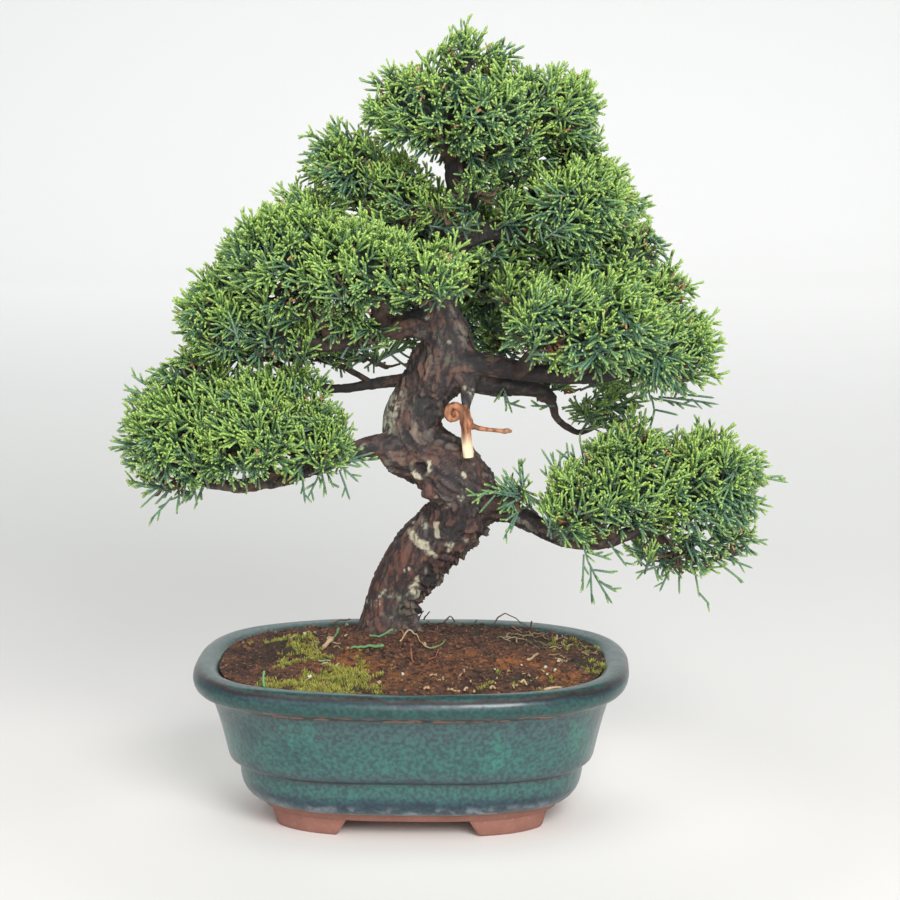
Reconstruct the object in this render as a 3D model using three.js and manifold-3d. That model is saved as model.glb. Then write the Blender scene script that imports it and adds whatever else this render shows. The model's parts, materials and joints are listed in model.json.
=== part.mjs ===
// Chinese juniper bonsai, about 300 mm tall, growing in an oval glazed pot on four feet.
// Millimetres, +Z up. The pot's feet stand on z = 0. The origin is under the middle of the
// whole plant's box, on the surface that the pot stands on.
import * as THREE from 'three';
import { mergeVertices } from 'three/addons/utils/BufferGeometryUtils.js';
import Module from 'manifold-3d';

const wasm = await Module();
wasm.setup();

// Pot. The plan is a superellipse whose half depth is the half length less a constant.
const POT_CENTRE = new THREE.Vector3(-14, -11.5, 0);
const POT_SIDES = 34;
const PLAN_EXPONENT = 2.8;
const DEPTH_LESS = 18;
// Height and half length of each turn of the profile, from the base up to the rim's crest.
const POT_OUTSIDE = [
  [6.5, 56], [10, 57.2], [10.3, 60.4], [15, 64], [23.4, 65], [25.6, 68.8], [29, 69.7], [42, 73],
  [50, 75.8], [51.2, 78.8], [54.4, 81.8], [57.6, 81.8], [60.5, 77.4],
];
// The same down the inside, from the rim's inner edge to the floor.
const POT_INSIDE = [[59.8, 73.4], [56.5, 71.4], [28, 64.2], [16, 58.6], [12, 54]];
const FLOOR_TOP = 12;
const FOOT = { top: 8.5, outer: 55, inner: 44, taper: 1.6, from: 26, to: 51, steps: 5 };
const DRAIN = { radius: 6, spacing: 56, sides: 16, depth: 30 };
const SCREEN = { side: 21, thick: 0.8, hole: 7, bar: 2.4 };

// The gap between pieces that touch.
const FIT = 0.3;

// Soil, heaped up towards the trunk.
const SOIL_EDGE_TOP = 58.8;
const SOIL_EDGE_LENGTH = 72.1;
const SOIL_HEAP = 6.5;
const SOIL_RINGS = [0.82, 0.5, 0.24];
const SOIL_UNEVEN = 0.9;

// Wood. Each row of a limb is a point on its middle line and its radius there: [x, y, z, r].
const TRUNK = [
  [-24, 12, 38, 8], [-24, 12, 52, 11], [-24, 12, 64, 13.6], [-22.5, 12.5, 73, 12.6],
  [-20, 13, 80, 11.6], [-14, 12, 92, 11], [-6, 8, 103, 11.5], [3, 3, 114, 12.3],
  [5, 0, 124, 12.8], [-1, -1, 134, 13.3], [-11, 1, 142, 12.4], [-14, 2, 151, 11],
  [-10, 1, 160, 10.5], [-4, -2, 169, 11.2], [-1, -4, 178, 9.6], [-4, -3, 188, 8.4],
  [-5, 1, 198, 7.5], [-1, 1, 208, 6.8], [4, -1, 219, 6.2], [6, -3, 230, 5.5],
  [3, -5, 241, 4.8], [4, -7, 253, 4], [8, -10, 264, 3.4], [8, -12, 275, 2.4], [6, -12, 286, 1.4],
];
const LIMBS = {
  leftLow: [
    [-19, -4, 141, 6.2], [-29, -6, 144, 5], [-37, -9, 140, 4.2], [-48, -13, 134, 3.6],
    [-63, -16, 128, 3.2], [-79, -18, 126, 2.8], [-93, -19, 129, 2.2], [-104, -21, 137, 1.6]],
  leftLowInner: [[-48, -13, 134, 2.6], [-51, -17, 140, 2], [-52, -21, 145, 1.4]],
  leftLowFront: [[-63, -16, 128, 2.6], [-69, -23, 137, 2], [-74, -30, 147, 1.4]],
  leftMain: [
    [-5, -2, 186, 6.5], [-16, -10, 186, 5.6], [-28, -16, 184, 5.1], [-42, -22, 181, 4.5],
    [-56, -27, 182, 3.8], [-71, -25, 185, 3.1], [-85, -21, 190, 2]],
  leftMainFront: [[-24, -13, 184, 3.6], [-25, -28, 193, 3], [-18, -40, 203, 2.4], [-6, -47, 208, 1.6]],
  leftMainMiddle: [[-25, -28, 193, 2.4], [-28, -38, 203, 2], [-30, -43, 210, 1.5]],
  leftMainTop: [[-42, -22, 181, 3.4], [-47, -27, 193, 2.8], [-55, -27, 211, 1.8]],
  leftBack: [
    [-10, 1, 166, 4.6], [-24, 12, 162, 3.8], [-38, 21, 159, 3.2], [-52, 24, 163, 2.6],
    [-63, 23, 173, 1.8]],
  leftBackEnd: [[-52, 24, 163, 2], [-70, 19, 169, 1.8], [-79, 14, 178, 1.4]],
  rightMain: [
    [-1, -4, 172, 8], [15, -10, 170, 6.6], [30, -18, 169, 5.6], [46, -24, 169, 4.8],
    [60, -26, 171, 3.9], [73, -21, 175, 2.8], [82, -18, 180, 1.8]],
  rightMainInner: [[26, -16, 169, 3.2], [32, -32, 179, 2.6], [36, -42, 190, 1.7]],
  rightMainFront: [[46, -24, 169, 3.4], [53, -34, 180, 2.7], [56, -39, 191, 1.8]],
  rightBack: [
    [16, -7, 168, 3.8], [32, 4, 159, 3], [44, 15, 149, 2.4], [53, 22, 144, 1.9], [60, 25, 151, 1.4]],
  rightLow: [
    [8, 2, 115, 7.2], [21, -4, 116, 5.4], [31, -10, 111, 4.5], [42, -16, 106, 3.9],
    [57, -20, 107, 3.3], [71, -21, 113, 2.8], [86, -18, 122, 2.2], [96, -16, 129, 1.5]],
  rightLowFront: [[42, -16, 106, 2.6], [47, -23, 113, 2.1], [51, -29, 121, 1.4]],
  rightLowMiddle: [
    [60, -21, 109, 2.6], [65, -22, 119, 2.1], [68, -23, 130, 1.7], [70, -21, 145, 1.2]],
  rightLowEnd: [[71, -21, 113, 2.2], [79, -16, 107, 1.8], [84, -14, 104, 1.4]],
  sprigTwig: [[9, -1, 116, 3], [17, -11, 119, 1.8], [23, -18, 124, 1.2]],
  shoulder: [
    [6, -2, 224, 5], [-5, -3, 224, 4], [-17, -6, 228, 3.4], [-28, -8, 235, 2.6], [-37, -8, 244, 1.7]],
  shoulderBack: [[-17, -6, 228, 2.6], [-24, 8, 231, 2.1], [-29, 20, 236, 1.5]],
  rightUpper: [
    [5, -2, 219, 5.2], [17, -8, 221, 4], [30, -14, 222, 3.4], [42, -18, 225, 2.8], [51, -17, 231, 1.8]],
  rightUpperEnd: [[39, -17, 225, 2.4], [58, -11, 218, 2], [70, -9, 214, 1.4]],
  rightUpperBack: [[17, -8, 221, 2.8], [35, 8, 223, 2.2], [52, 25, 228, 1.5]],
  backMiddle: [[-5, 2, 196, 5.6], [-4, 19, 193, 4.2], [-2, 33, 191, 3.2], [-1, 44, 191, 2]],
  crownRight: [[4, -7, 250, 3.6], [15, -10, 254, 2.8], [27, -9, 258, 2.3], [38, -8, 263, 1.6]],
  crownLeft: [[3, -5, 244, 3.4], [-2, -13, 253, 2.5], [-7, -17, 264, 1.6]],
  crownBack: [[4, -5, 243, 3.2], [7, 5, 249, 2.4], [11, 15, 256, 1.6]],
  crownFront: [[4, -7, 252, 3], [12, -17, 255, 2.3], [17, -22, 261, 1.5]],
  knot: [[1, -1, 122, 10], [8, -2, 128, 9], [14, -4, 132, 6]],
  prunedStub: [[-8, -8, 122, 4.2], [-10, -14, 124, 3.4]],
};
// Deadwood left bare at the bend of the trunk, and its side twig.
const DEADWOOD = [
  [-2.5, -9, 156.5, 3.4], [1, -15, 156, 3.6], [5, -17.5, 153, 3.4], [7, -17.5, 148, 2.7],
  [8, -16, 142, 2.3], [8, -15, 136.5, 2.2]];
const DEADWOOD_TWIG = [[6, -17, 150, 1.5], [12, -17, 149, 1.1], [18, -17, 148, 1], [23, -18, 148.5, 1.1]];

// Foliage. A pad is a group of rounded lobes, each [x, y, z] at its middle and [x, y, z] radii.
const PADS = {
  foliage_crown: [
    [[17, -22, 262], [21, 24, 20]], [[-7, -17, 266], [23, 26, 19]], [[39, -8, 265], [20, 24, 18]],
    [[11, 16, 258], [23, 22, 18]], [[6, -11, 283], [13, 14, 16.5]]],
  foliage_shoulder: [[[-39, -8, 246], [17, 20, 17]], [[-20, -2, 238], [14, 18, 11]]],
  foliage_shoulder_back: [[[-30, 24, 236], [17, 18, 15]]],
  foliage_left_main: [
    [[-57, -27, 214], [27, 30, 22]], [[-86, -20, 192], [18, 26, 20]], [[-30, -44, 211], [26, 25, 18]],
    [[-5, -49, 209], [18, 20, 13]], [[-56, -33, 193], [22, 24, 12]]],
  foliage_left_back: [[[-60, 26, 174], [24, 22, 14]], [[-80, 20, 179], [17, 20, 14]]],
  foliage_right_upper: [
    [[50, -17, 232], [23, 28, 18]], [[71, -9, 215], [17, 24, 15]], [[29, -8, 229], [13, 20, 13]]],
  foliage_right_upper_back: [[[53, 28, 228], [20, 20, 18]]],
  foliage_right_main: [
    [[56, -39, 190], [26, 28, 20]], [[81, -18, 179], [20, 28, 20]], [[36, -44, 191], [15, 20, 17]]],
  foliage_right_back: [[[59, 27, 152], [17, 20, 13]]],
  foliage_left_low: [
    [[-100, -21, 144], [21, 28, 25]], [[-74, -30, 149], [22, 27, 21]], [[-51, -21, 144], [17, 22, 17]]],
  foliage_right_low: [
    [[96, -16, 129], [27, 30, 25]], [[68, -23, 130], [22, 28, 21]], [[82, -14, 104], [26, 24, 16]],
    [[50, -30, 122], [17, 18, 18]], [[54, -27, 101], [9, 10, 13]], [[71, -21, 151], [7, 9, 9]]],
  foliage_sprig: [[[23, -18, 124], [12, 11, 10]]],
  foliage_back: [[[-1, 49, 191], [34, 28, 22]], [[-3, 38, 218], [25, 22, 18]]],
};
// A lobe's core is smaller by the shoots' reach, and joined to its neighbour by a neck.
const SMALL_LOBE = 14.5;
const LEAST_CORE = 0.6;
const NECK = 0.6;
const CORE_UNEVEN = 0.075;
// Shoots. Lengths in millimetres; least, vary, flare and fork are parts of the way out.
const WIDEST_ROOT = 0.7;
const SHOOT = {
  reach: 6, rootRadius: 1.15, tipRadius: 0.8, least: 0.97, vary: 0.12, rise: 2.4, stray: 2.6,
  spacing: 12.6, forked: 0.25, flare: 0.28, fork: 0.5, forkOut: 4.2, forkUp: 3.4,
};

const standard = (color, roughness) =>
  new THREE.MeshStandardMaterial({ color, roughness, metalness: 0 });
const MATERIALS = {
  pot: standard('#3f7f77', 0.22),
  soil: standard('#7a3f22', 0.95),
  screen: standard('#2b2d2c', 0.6),
  wood: standard('#5d4a40', 0.85),
  deadwood: standard('#c79a6a', 0.75),
  foliage: standard('#6f9a3c', 0.7),
};

// A repeatable stream of numbers from 0 to 1.
function randomStream(seed) {
  let state = seed >>> 0;
  return () => {
    state = (state + 0x6d2b79f5) >>> 0;
    let mixed = Math.imul(state ^ (state >>> 15), 1 | state);
    mixed = (mixed + Math.imul(mixed ^ (mixed >>> 7), 61 | mixed)) ^ mixed;
    return ((mixed ^ (mixed >>> 14)) >>> 0) / 4294967296;
  };
}

// Turns a closed geometry into a solid that can be joined and cut.
function solidFrom(geometry) {
  const bare = geometry.clone();
  bare.deleteAttribute('normal');
  bare.deleteAttribute('uv');
  const merged = mergeVertices(bare, 1e-5);
  return new wasm.Manifold(new wasm.Mesh({
    numProp: 3,
    vertProperties: new Float32Array(merged.attributes.position.array),
    triVerts: new Uint32Array(merged.index.array),
  }));
}

// Turns a solid into a named mesh.
function meshFrom(solid, name, material) {
  const { vertProperties, triVerts } = solid.getMesh();
  const geometry = new THREE.BufferGeometry();
  geometry.setAttribute('position', new THREE.BufferAttribute(vertProperties, 3));
  geometry.setIndex(new THREE.BufferAttribute(triVerts, 1));
  geometry.computeVertexNormals();
  const mesh = new THREE.Mesh(geometry, material);
  mesh.name = name;
  return mesh;
}

const unionOf = (solids) => wasm.Manifold.union(solids);

// The largest body of a solid; loose scraps that a cut leaves are dropped.
function largestBody(solid) {
  const bodies = solid.decompose();
  return bodies.reduce((a, b) => (a.volume() > b.volume() ? a : b));
}

// A closed skin over rings of points. Each ring runs anticlockwise seen from the next one.
function loft(rings) {
  const count = rings[0].length;
  const positions = rings.flat().flatMap((p) => [p.x, p.y, p.z]);
  const indices = [];
  for (let i = 0; i + 1 < rings.length; i += 1) {
    for (let j = 0; j < count; j += 1) {
      const k = (j + 1) % count;
      const [a, b, c, d] = [i * count + j, i * count + k, (i + 1) * count + k, (i + 1) * count + j];
      indices.push(a, b, c, a, c, d);
    }
  }
  for (const [ring, turned] of [[0, true], [rings.length - 1, false]]) {
    const middle = new THREE.Vector3();
    rings[ring].forEach((p) => middle.addScaledVector(p, 1 / count));
    const centre = positions.length / 3;
    positions.push(middle.x, middle.y, middle.z);
    for (let j = 0; j < count; j += 1) {
      const [a, b] = [ring * count + j, ring * count + ((j + 1) % count)];
      indices.push(centre, turned ? b : a, turned ? a : b);
    }
  }
  const geometry = new THREE.BufferGeometry();
  geometry.setAttribute('position', new THREE.Float32BufferAttribute(positions, 3));
  geometry.setIndex(indices);
  return geometry;
}

// One point of the pot's plan at a given half length, turn and height.
function planPoint(halfLength, turn, z) {
  const power = 2 / PLAN_EXPONENT;
  const along = (value) => Math.sign(value) * Math.abs(value) ** power;
  return new THREE.Vector3(
    halfLength * along(Math.cos(turn)), (halfLength - DEPTH_LESS) * along(Math.sin(turn)), z);
}

function planRing(halfLength, z) {
  return Array.from({ length: POT_SIDES }, (_, j) =>
    planPoint(halfLength, (j / POT_SIDES) * 2 * Math.PI, z));
}

// A foot under one corner of the pot: a curved block that follows the plan and narrows downwards.
function makeFoot(signX, signY) {
  const turnAt = (x) => Math.acos((x / FOOT.outer) ** (PLAN_EXPONENT / 2));
  const mirrored = signX * signY < 0;
  const rings = Array.from({ length: FOOT.steps + 1 }, (_, i) => {
    const part = i / FOOT.steps;
    const corners = [[0, 1], [FOOT.top, 0]].flatMap(([z, low]) => {
      const x = THREE.MathUtils.lerp(FOOT.from + low * FOOT.taper, FOOT.to - low * FOOT.taper, part);
      const turn = turnAt(x);
      return [planPoint(FOOT.outer - low * FOOT.taper, turn, z), planPoint(FOOT.inner, turn, z)];
    });
    const [outLow, inLow, outHigh, inHigh] = corners;
    const ring = [outLow, outHigh, inHigh, inLow].map(
      (p) => new THREE.Vector3(p.x * signX, p.y * signY, p.z));
    return mirrored ? ring.reverse() : ring;
  });
  return solidFrom(loft(rings));
}

function makeCylinder(radius, sides, height, centre) {
  const geometry = new THREE.CylinderGeometry(radius, radius, height, sides);
  geometry.rotateX(Math.PI / 2);
  geometry.translate(centre.x, centre.y, centre.z);
  return solidFrom(geometry);
}

const drainCentres = [-1, 1].map((side) => new THREE.Vector3((side * DRAIN.spacing) / 2, 0, FLOOR_TOP));

function makePot() {
  const rings = [...POT_OUTSIDE, ...POT_INSIDE].map(([z, halfLength]) => planRing(halfLength, z));
  const feet = [[-1, -1], [1, -1], [1, 1], [-1, 1]].map(([x, y]) => makeFoot(x, y));
  const drains = drainCentres.map((c) => makeCylinder(DRAIN.radius, DRAIN.sides, DRAIN.depth, c));
  return unionOf([solidFrom(loft(rings)), ...feet]).subtract(unionOf(drains));
}

function makeBox(size, centre) {
  const geometry = new THREE.BoxGeometry(...size);
  geometry.translate(centre.x, centre.y, centre.z);
  return solidFrom(geometry);
}

// A square of plastic mesh that keeps the soil in over a drain hole.
function makeScreen(centre) {
  const middle = centre.clone().setZ(FLOOR_TOP + FIT + SCREEN.thick / 2);
  const reach = (SCREEN.hole + SCREEN.bar) / 2;
  const holes = [[-1, -1], [1, -1], [1, 1], [-1, 1]].map(([x, y]) => makeBox(
    [SCREEN.hole, SCREEN.hole, 2 * SCREEN.thick],
    middle.clone().add(new THREE.Vector3(x * reach, y * reach, 0))));
  return makeBox([SCREEN.side, SCREEN.side, SCREEN.thick], middle).subtract(unionOf(holes));
}

// The soil fills the pot to just under the rim and is heaped round the foot of the trunk.
function makeSoil(trunkFoot) {
  const random = randomStream(11);
  const sides = POT_INSIDE.filter(([z]) => z < SOIL_EDGE_TOP).reverse();
  const rings = sides.map(([z, halfLength]) => planRing(halfLength - FIT, Math.max(z, FLOOR_TOP + FIT)));
  const edge = planRing(SOIL_EDGE_LENGTH, SOIL_EDGE_TOP);
  rings.push(edge);
  for (const part of SOIL_RINGS) {
    rings.push(edge.map((p) => {
      const point = p.clone().sub(trunkFoot).multiplyScalar(part).add(trunkFoot);
      const heap = SOIL_HEAP * (1 - part) ** 1.3;
      point.z = SOIL_EDGE_TOP + heap + (random() - 0.5) * SOIL_UNEVEN;
      return point;
    }));
  }
  const side = SCREEN.side + 2 * FIT;
  const recesses = drainCentres.map((c) => makeBox([side, side, 2 * (SCREEN.thick + 2 * FIT)], c));
  return solidFrom(loft(rings)).subtract(unionOf(recesses));
}

// A tapering limb through rows of [x, y, z, r], with a bumpy section where relief is given.
function makeLimb(rows, { sides, perSpan = 2, grow = 0, relief = 0 }) {
  const curve = new THREE.CatmullRomCurve3(rows.map(([x, y, z]) => new THREE.Vector3(x, y, z)));
  const steps = (rows.length - 1) * perSpan;
  const tangentAt = (i) => curve.getTangent(i / steps);
  let normal = new THREE.Vector3(1, 0, 0);
  if (Math.abs(normal.dot(tangentAt(0))) > 0.9) normal = new THREE.Vector3(0, 1, 0);
  const rings = [];
  for (let i = 0; i <= steps; i += 1) {
    const tangent = tangentAt(i);
    normal = normal.clone().addScaledVector(tangent, -normal.dot(tangent)).normalize();
    const binormal = tangent.clone().cross(normal);
    const span = Math.min(Math.floor(i / perSpan), rows.length - 2);
    const radius = THREE.MathUtils.lerp(rows[span][3], rows[span + 1][3], i / perSpan - span);
    const middle = curve.getPoint(i / steps);
    if (i === 0) middle.addScaledVector(tangent, -grow);
    if (i === steps) middle.addScaledVector(tangent, grow);
    rings.push(Array.from({ length: sides }, (_, j) => {
      const turn = (j / sides) * 2 * Math.PI;
      const bump = Math.sin(3 * turn + i * 0.32) + 0.7 * Math.sin(5 * turn - i * 0.55);
      const r = radius * (1 + relief * bump) + grow;
      return middle.clone()
        .addScaledVector(normal, r * Math.cos(turn)).addScaledVector(binormal, r * Math.sin(turn));
    }));
  }
  return solidFrom(loft(rings));
}

// Trunk and branches as one body; grow makes the same body thicker all over.
function makeWood(grow = 0) {
  const limbs = Object.values(LIMBS).map((rows) => {
    const thick = rows[0][3] > 4;
    return makeLimb(rows, { sides: thick ? 7 : 4, perSpan: 1, grow, relief: thick ? 0.05 : 0 });
  });
  return unionOf([makeLimb(TRUNK, { sides: 11, perSpan: 1, grow, relief: 0.06 }), ...limbs]);
}

function makeDeadwood(grow = 0) {
  return unionOf([
    makeLimb(DEADWOOD, { sides: 8, grow, relief: 0.06 }),
    makeLimb(DEADWOOD_TWIG, { sides: 5, perSpan: 1, grow }),
  ]);
}

const coreRadius = (radius) => Math.max(radius - SHOOT.reach, radius * LEAST_CORE);

// The faces of a lobe's core, three corners each. The core is a little uneven.
function coreFaces([middle, radii], grow = 0) {
  const small = Math.min(...radii) < SMALL_LOBE;
  const sphere = new (small ? THREE.OctahedronGeometry : THREE.IcosahedronGeometry)(1, 1).attributes.position;
  const corners = Array.from({ length: sphere.count }, (_, i) => {
    const way = new THREE.Vector3().fromBufferAttribute(sphere, i).normalize();
    const wave = Math.sin(9 * way.x + middle[0]) + Math.sin(11 * way.y - middle[1]) + Math.sin(10 * way.z);
    const size = 1 + CORE_UNEVEN * wave;
    return new THREE.Vector3(...['x', 'y', 'z'].map((axis, k) =>
      middle[k] + way[axis] * (coreRadius(radii[k]) * size + grow)));
  });
  return Array.from({ length: corners.length / 3 }, (_, i) => corners.slice(3 * i, 3 * i + 3));
}

// A solid from the corner points of its faces, three by three.
function solidFromTriangles(triangles) {
  return solidFrom(new THREE.BufferGeometry().setFromPoints(triangles));
}

// Necks that join each lobe's core to the nearest one before it.
function makeNecks(lobes, grow = 0) {
  const away = (a, b) => Math.hypot(...a[0].map((value, i) => value - b[0][i]));
  return lobes.slice(1).map((lobe, index) => {
    const near = lobes.slice(0, index + 1).reduce((a, b) => (away(lobe, a) < away(lobe, b) ? a : b));
    const rows = [near, lobe].map(([middle, radii]) => [...middle, coreRadius(Math.min(...radii)) * NECK]);
    return makeLimb(rows, { sides: 6, perSpan: 1, grow });
  });
}

const makeCore = (lobes, grow = 0) => unionOf(
  [...lobes.map((lobe) => solidFromTriangles(coreFaces(lobe, grow).flat())), ...makeNecks(lobes, grow)]);

// The band of faces between two three-cornered rings, lower one first.
const band = (low, high, skip = -1) => [0, 1, 2].filter((j) => j !== skip).flatMap((j) => {
  const k = (j + 1) % 3;
  return [low[j], low[k], high[k], low[j], high[k], high[j]];
});

// Corner points of the faces of one shoot. Its foot flares out to the corners of its face of the core.
function shootFaces(face, { to, forkTo }) {
  const root = face.reduce((sum, p) => sum.addScaledVector(p, 1 / 3), new THREE.Vector3());
  const spread = face.map((p) => p.clone().sub(root));
  const ring = (part, radius) => spread.map((s) =>
    root.clone().lerp(to, part).addScaledVector(s, Math.min(radius / s.length(), WIDEST_ROOT)));
  const low = ring(SHOOT.flare, SHOOT.rootRadius);
  const tip = ring(1, SHOOT.tipRadius);
  if (!forkTo) return [...band(face, low), ...band(low, tip), ...tip];
  const high = ring(SHOOT.fork, SHOOT.rootRadius);
  const bud = [low[0], low[1], high[1], high[0]].flatMap((p, j, all) => [p, all[(j + 1) % 4], forkTo]);
  return [...band(face, low), ...band(low, high, 0), ...bud, ...band(high, tip), ...tip];
}

const insideLobe = (point, [middle, radii], scale) => Math.hypot(
  ...['x', 'y', 'z'].map((axis, i) => (point[axis] - middle[i]) / (radii[i] * scale))) < 1;

// Where the shoot on one face of a core ends, and its side shoot if it is a forked one.
function planShoot(face, [middle, radii], random) {
  const root = face.reduce((sum, p) => sum.addScaledVector(p, 1 / 3), new THREE.Vector3());
  const out = root.clone().sub(new THREE.Vector3(...middle));
  const scale = Math.hypot(...['x', 'y', 'z'].map((axis, k) => out[axis] / radii[k]));
  const to = out.clone().multiplyScalar((SHOOT.least + SHOOT.vary * random()) / scale);
  to.add(new THREE.Vector3(...middle));
  to.z += SHOOT.rise * (1 - Math.abs(out.z) / out.length());
  to.add(new THREE.Vector3(random() - 0.5, random() - 0.5, 0).multiplyScalar(SHOOT.stray));
  const shoot = { to, forkTo: null };
  if (random() < SHOOT.forked) {
    const [a, b, c] = face;
    const side = a.clone().add(b).multiplyScalar(0.5).sub(c).normalize();
    const along = to.clone().sub(root).normalize();
    shoot.forkTo = root.clone().lerp(to, SHOOT.fork)
      .addScaledVector(side, SHOOT.forkOut).addScaledVector(along, SHOOT.forkUp);
  }
  return { root, shoot };
}

// A plain rod round a shoot and its fork, wider by the gap that it keeps to its neighbours.
function shootRoom(root, { to, forkTo }) {
  const rod = (from, end) => makeLimb(
    [[...from.toArray(), SHOOT.rootRadius], [...end.toArray(), SHOOT.tipRadius]],
    { sides: 4, perSpan: 1, grow: FIT });
  const rods = [rod(root, to)];
  if (forkTo) rods.push(rod(root.clone().lerp(to, SHOOT.flare), forkTo));
  return unionOf(rods);
}

const boxesMeet = (a, b) => [0, 1, 2].every((i) => a.min[i] < b.max[i] && b.min[i] < a.max[i]);
const meets = (a, b) => boxesMeet(a.boundingBox(), b.boundingBox()) && !a.intersect(b).isEmpty();

// The lobes of one pad with their shoots, evenly spaced and clear of everything in others.
function makeLobes(lobes, others, random) {
  const tips = [];
  return lobes.map((lobe) => {
    const faces = coreFaces(lobe);
    const order = faces.map((_, i) => [random(), i]).sort((a, b) => a[0] - b[0]).map(([, i]) => i);
    const grown = new Map();
    for (const i of order) {
      const { root, shoot } = planShoot(faces[i], lobe, random);
      const crowded = tips.some((tip) => tip.distanceTo(shoot.to) < SHOOT.spacing);
      const buried = lobes.some((other) => other !== lobe && insideLobe(shoot.to, other, 0.95));
      if (crowded || buried) continue;
      const room = shootRoom(root, shoot);
      if (others.some((other) => meets(room, other))) continue;
      tips.push(shoot.to);
      grown.set(i, shoot);
    }
    const skin = faces.flatMap((face, i) => (grown.has(i) ? shootFaces(face, grown.get(i)) : face));
    return solidFromTriangles(skin);
  });
}

// Every pad clear of the wood, of the deadwood and of the other pads.
function makePads(obstacle) {
  const names = Object.keys(PADS);
  const bodies = Object.fromEntries(names.map((name) => [name, makeCore(PADS[name])]));
  names.forEach((name, index) => {
    const others = names.filter((other) => other !== name).map((other) => bodies[other]);
    const lobes = makeLobes(PADS[name], [...others, obstacle], randomStream(100 + index));
    const before = names.slice(0, index).map((other) => makeCore(PADS[other], 2 * FIT));
    const pad = unionOf([...lobes, ...makeNecks(PADS[name])]);
    bodies[name] = largestBody(pad.subtract(unionOf([obstacle, ...before])));
  });
  return bodies;
}

const bonsai = new THREE.Group();
const atPot = (solid) => solid.translate(POT_CENTRE.toArray());
const wood = makeWood();
const woodRoom = makeWood(FIT);
const deadwood = makeDeadwood().subtract(woodRoom);
const trunkFoot = new THREE.Vector3(TRUNK[0][0], TRUNK[0][1], 0).sub(POT_CENTRE);

bonsai.add(meshFrom(atPot(makePot()), 'pot', MATERIALS.pot));
drainCentres.forEach((centre, i) => {
  const name = `drain_screen_${['left', 'right'][i]}`;
  bonsai.add(meshFrom(atPot(makeScreen(centre)), name, MATERIALS.screen));
});
bonsai.add(meshFrom(atPot(makeSoil(trunkFoot)).subtract(woodRoom), 'soil', MATERIALS.soil));
bonsai.add(meshFrom(wood, 'wood', MATERIALS.wood));
bonsai.add(meshFrom(largestBody(deadwood), 'deadwood', MATERIALS.deadwood));
for (const [name, body] of Object.entries(makePads(unionOf([woodRoom, makeDeadwood(FIT)])))) {
  bonsai.add(meshFrom(body, name, MATERIALS.foliage));
}

// The origin goes under the middle of the whole plant's box.
const middle = new THREE.Box3().setFromObject(bonsai).getCenter(new THREE.Vector3());
bonsai.position.set(-middle.x, -middle.y, 0);

export default bonsai;
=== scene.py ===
"""A Chinese juniper bonsai in an oval glazed pot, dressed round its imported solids.

Sizes are millimetres, and meshes are made in metres. The tree's and the pot's sizes are given
from the middle of the potting table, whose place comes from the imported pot.
"""

import json
import logging
import math
from dataclasses import dataclass, field
from enum import Enum
from functools import reduce
from itertools import product
from typing import Any

import bmesh
import bpy
import numpy as np
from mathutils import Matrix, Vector

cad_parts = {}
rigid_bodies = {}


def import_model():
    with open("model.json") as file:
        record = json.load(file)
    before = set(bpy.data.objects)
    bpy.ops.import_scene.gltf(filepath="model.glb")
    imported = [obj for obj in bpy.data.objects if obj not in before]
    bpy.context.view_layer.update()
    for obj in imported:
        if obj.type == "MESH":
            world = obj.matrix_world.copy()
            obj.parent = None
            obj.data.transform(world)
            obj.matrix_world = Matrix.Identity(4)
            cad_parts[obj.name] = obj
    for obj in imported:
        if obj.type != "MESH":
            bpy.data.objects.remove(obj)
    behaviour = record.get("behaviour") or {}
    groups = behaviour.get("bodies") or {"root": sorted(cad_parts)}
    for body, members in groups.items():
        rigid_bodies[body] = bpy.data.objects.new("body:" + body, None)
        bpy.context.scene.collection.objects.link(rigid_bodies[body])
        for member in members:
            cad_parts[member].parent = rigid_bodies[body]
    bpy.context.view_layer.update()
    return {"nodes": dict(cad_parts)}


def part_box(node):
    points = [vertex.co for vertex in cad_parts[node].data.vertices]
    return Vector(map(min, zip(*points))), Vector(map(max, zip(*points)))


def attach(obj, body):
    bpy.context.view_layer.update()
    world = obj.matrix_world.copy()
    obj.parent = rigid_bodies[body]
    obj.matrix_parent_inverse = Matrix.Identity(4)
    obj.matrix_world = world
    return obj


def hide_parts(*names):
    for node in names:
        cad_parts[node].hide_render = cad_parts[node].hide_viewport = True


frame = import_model()

log = logging.getLogger("bonsai")

MM = 0.001
BODY = "root"
FLAT = np.array([1, 1, 0])
UP = np.array([0, 0, 1.0])
Rows = list[list[float]]
Sizes = tuple[float, float, float]
Pair = tuple[float, float]
Colour = tuple[float, float, float, float]
Faces = list[tuple[int, ...]]
Array = np.ndarray
Socket = bpy.types.NodeSocket
Material = bpy.types.Material
Piece = bpy.types.Object
Kinds = bpy.types.Collection


class Slot(Enum):
    """The record's material slots."""

    POT = "pot_glaze"
    SCREEN = "drain_screen"
    SOIL = "soil"
    MOSS = "moss"
    BARK = "bark"
    DEADWOOD = "deadwood"
    FOLIAGE = "foliage"


def paint(red: float, green: float, blue: float) -> Colour:
    """A colour seen as red, green and blue from 0 to 255, as light values."""
    shares = [v / 255 for v in (red, green, blue)]
    return (*[s / 12.92 if s < 0.04045 else ((s + 0.055) / 1.055) ** 2.4 for s in shares], 1.0)


def rise(values: Array, low: float, high: float) -> Array:
    """A smooth rise from 0 at low to 1 at high."""
    part = np.clip((values - low) / (high - low), 0, 1)
    return part * part * (3 - 2 * part)


def listed(values: Any) -> Any:
    """A table as a dataclass's own value."""
    return field(default_factory=lambda: values)


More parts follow.
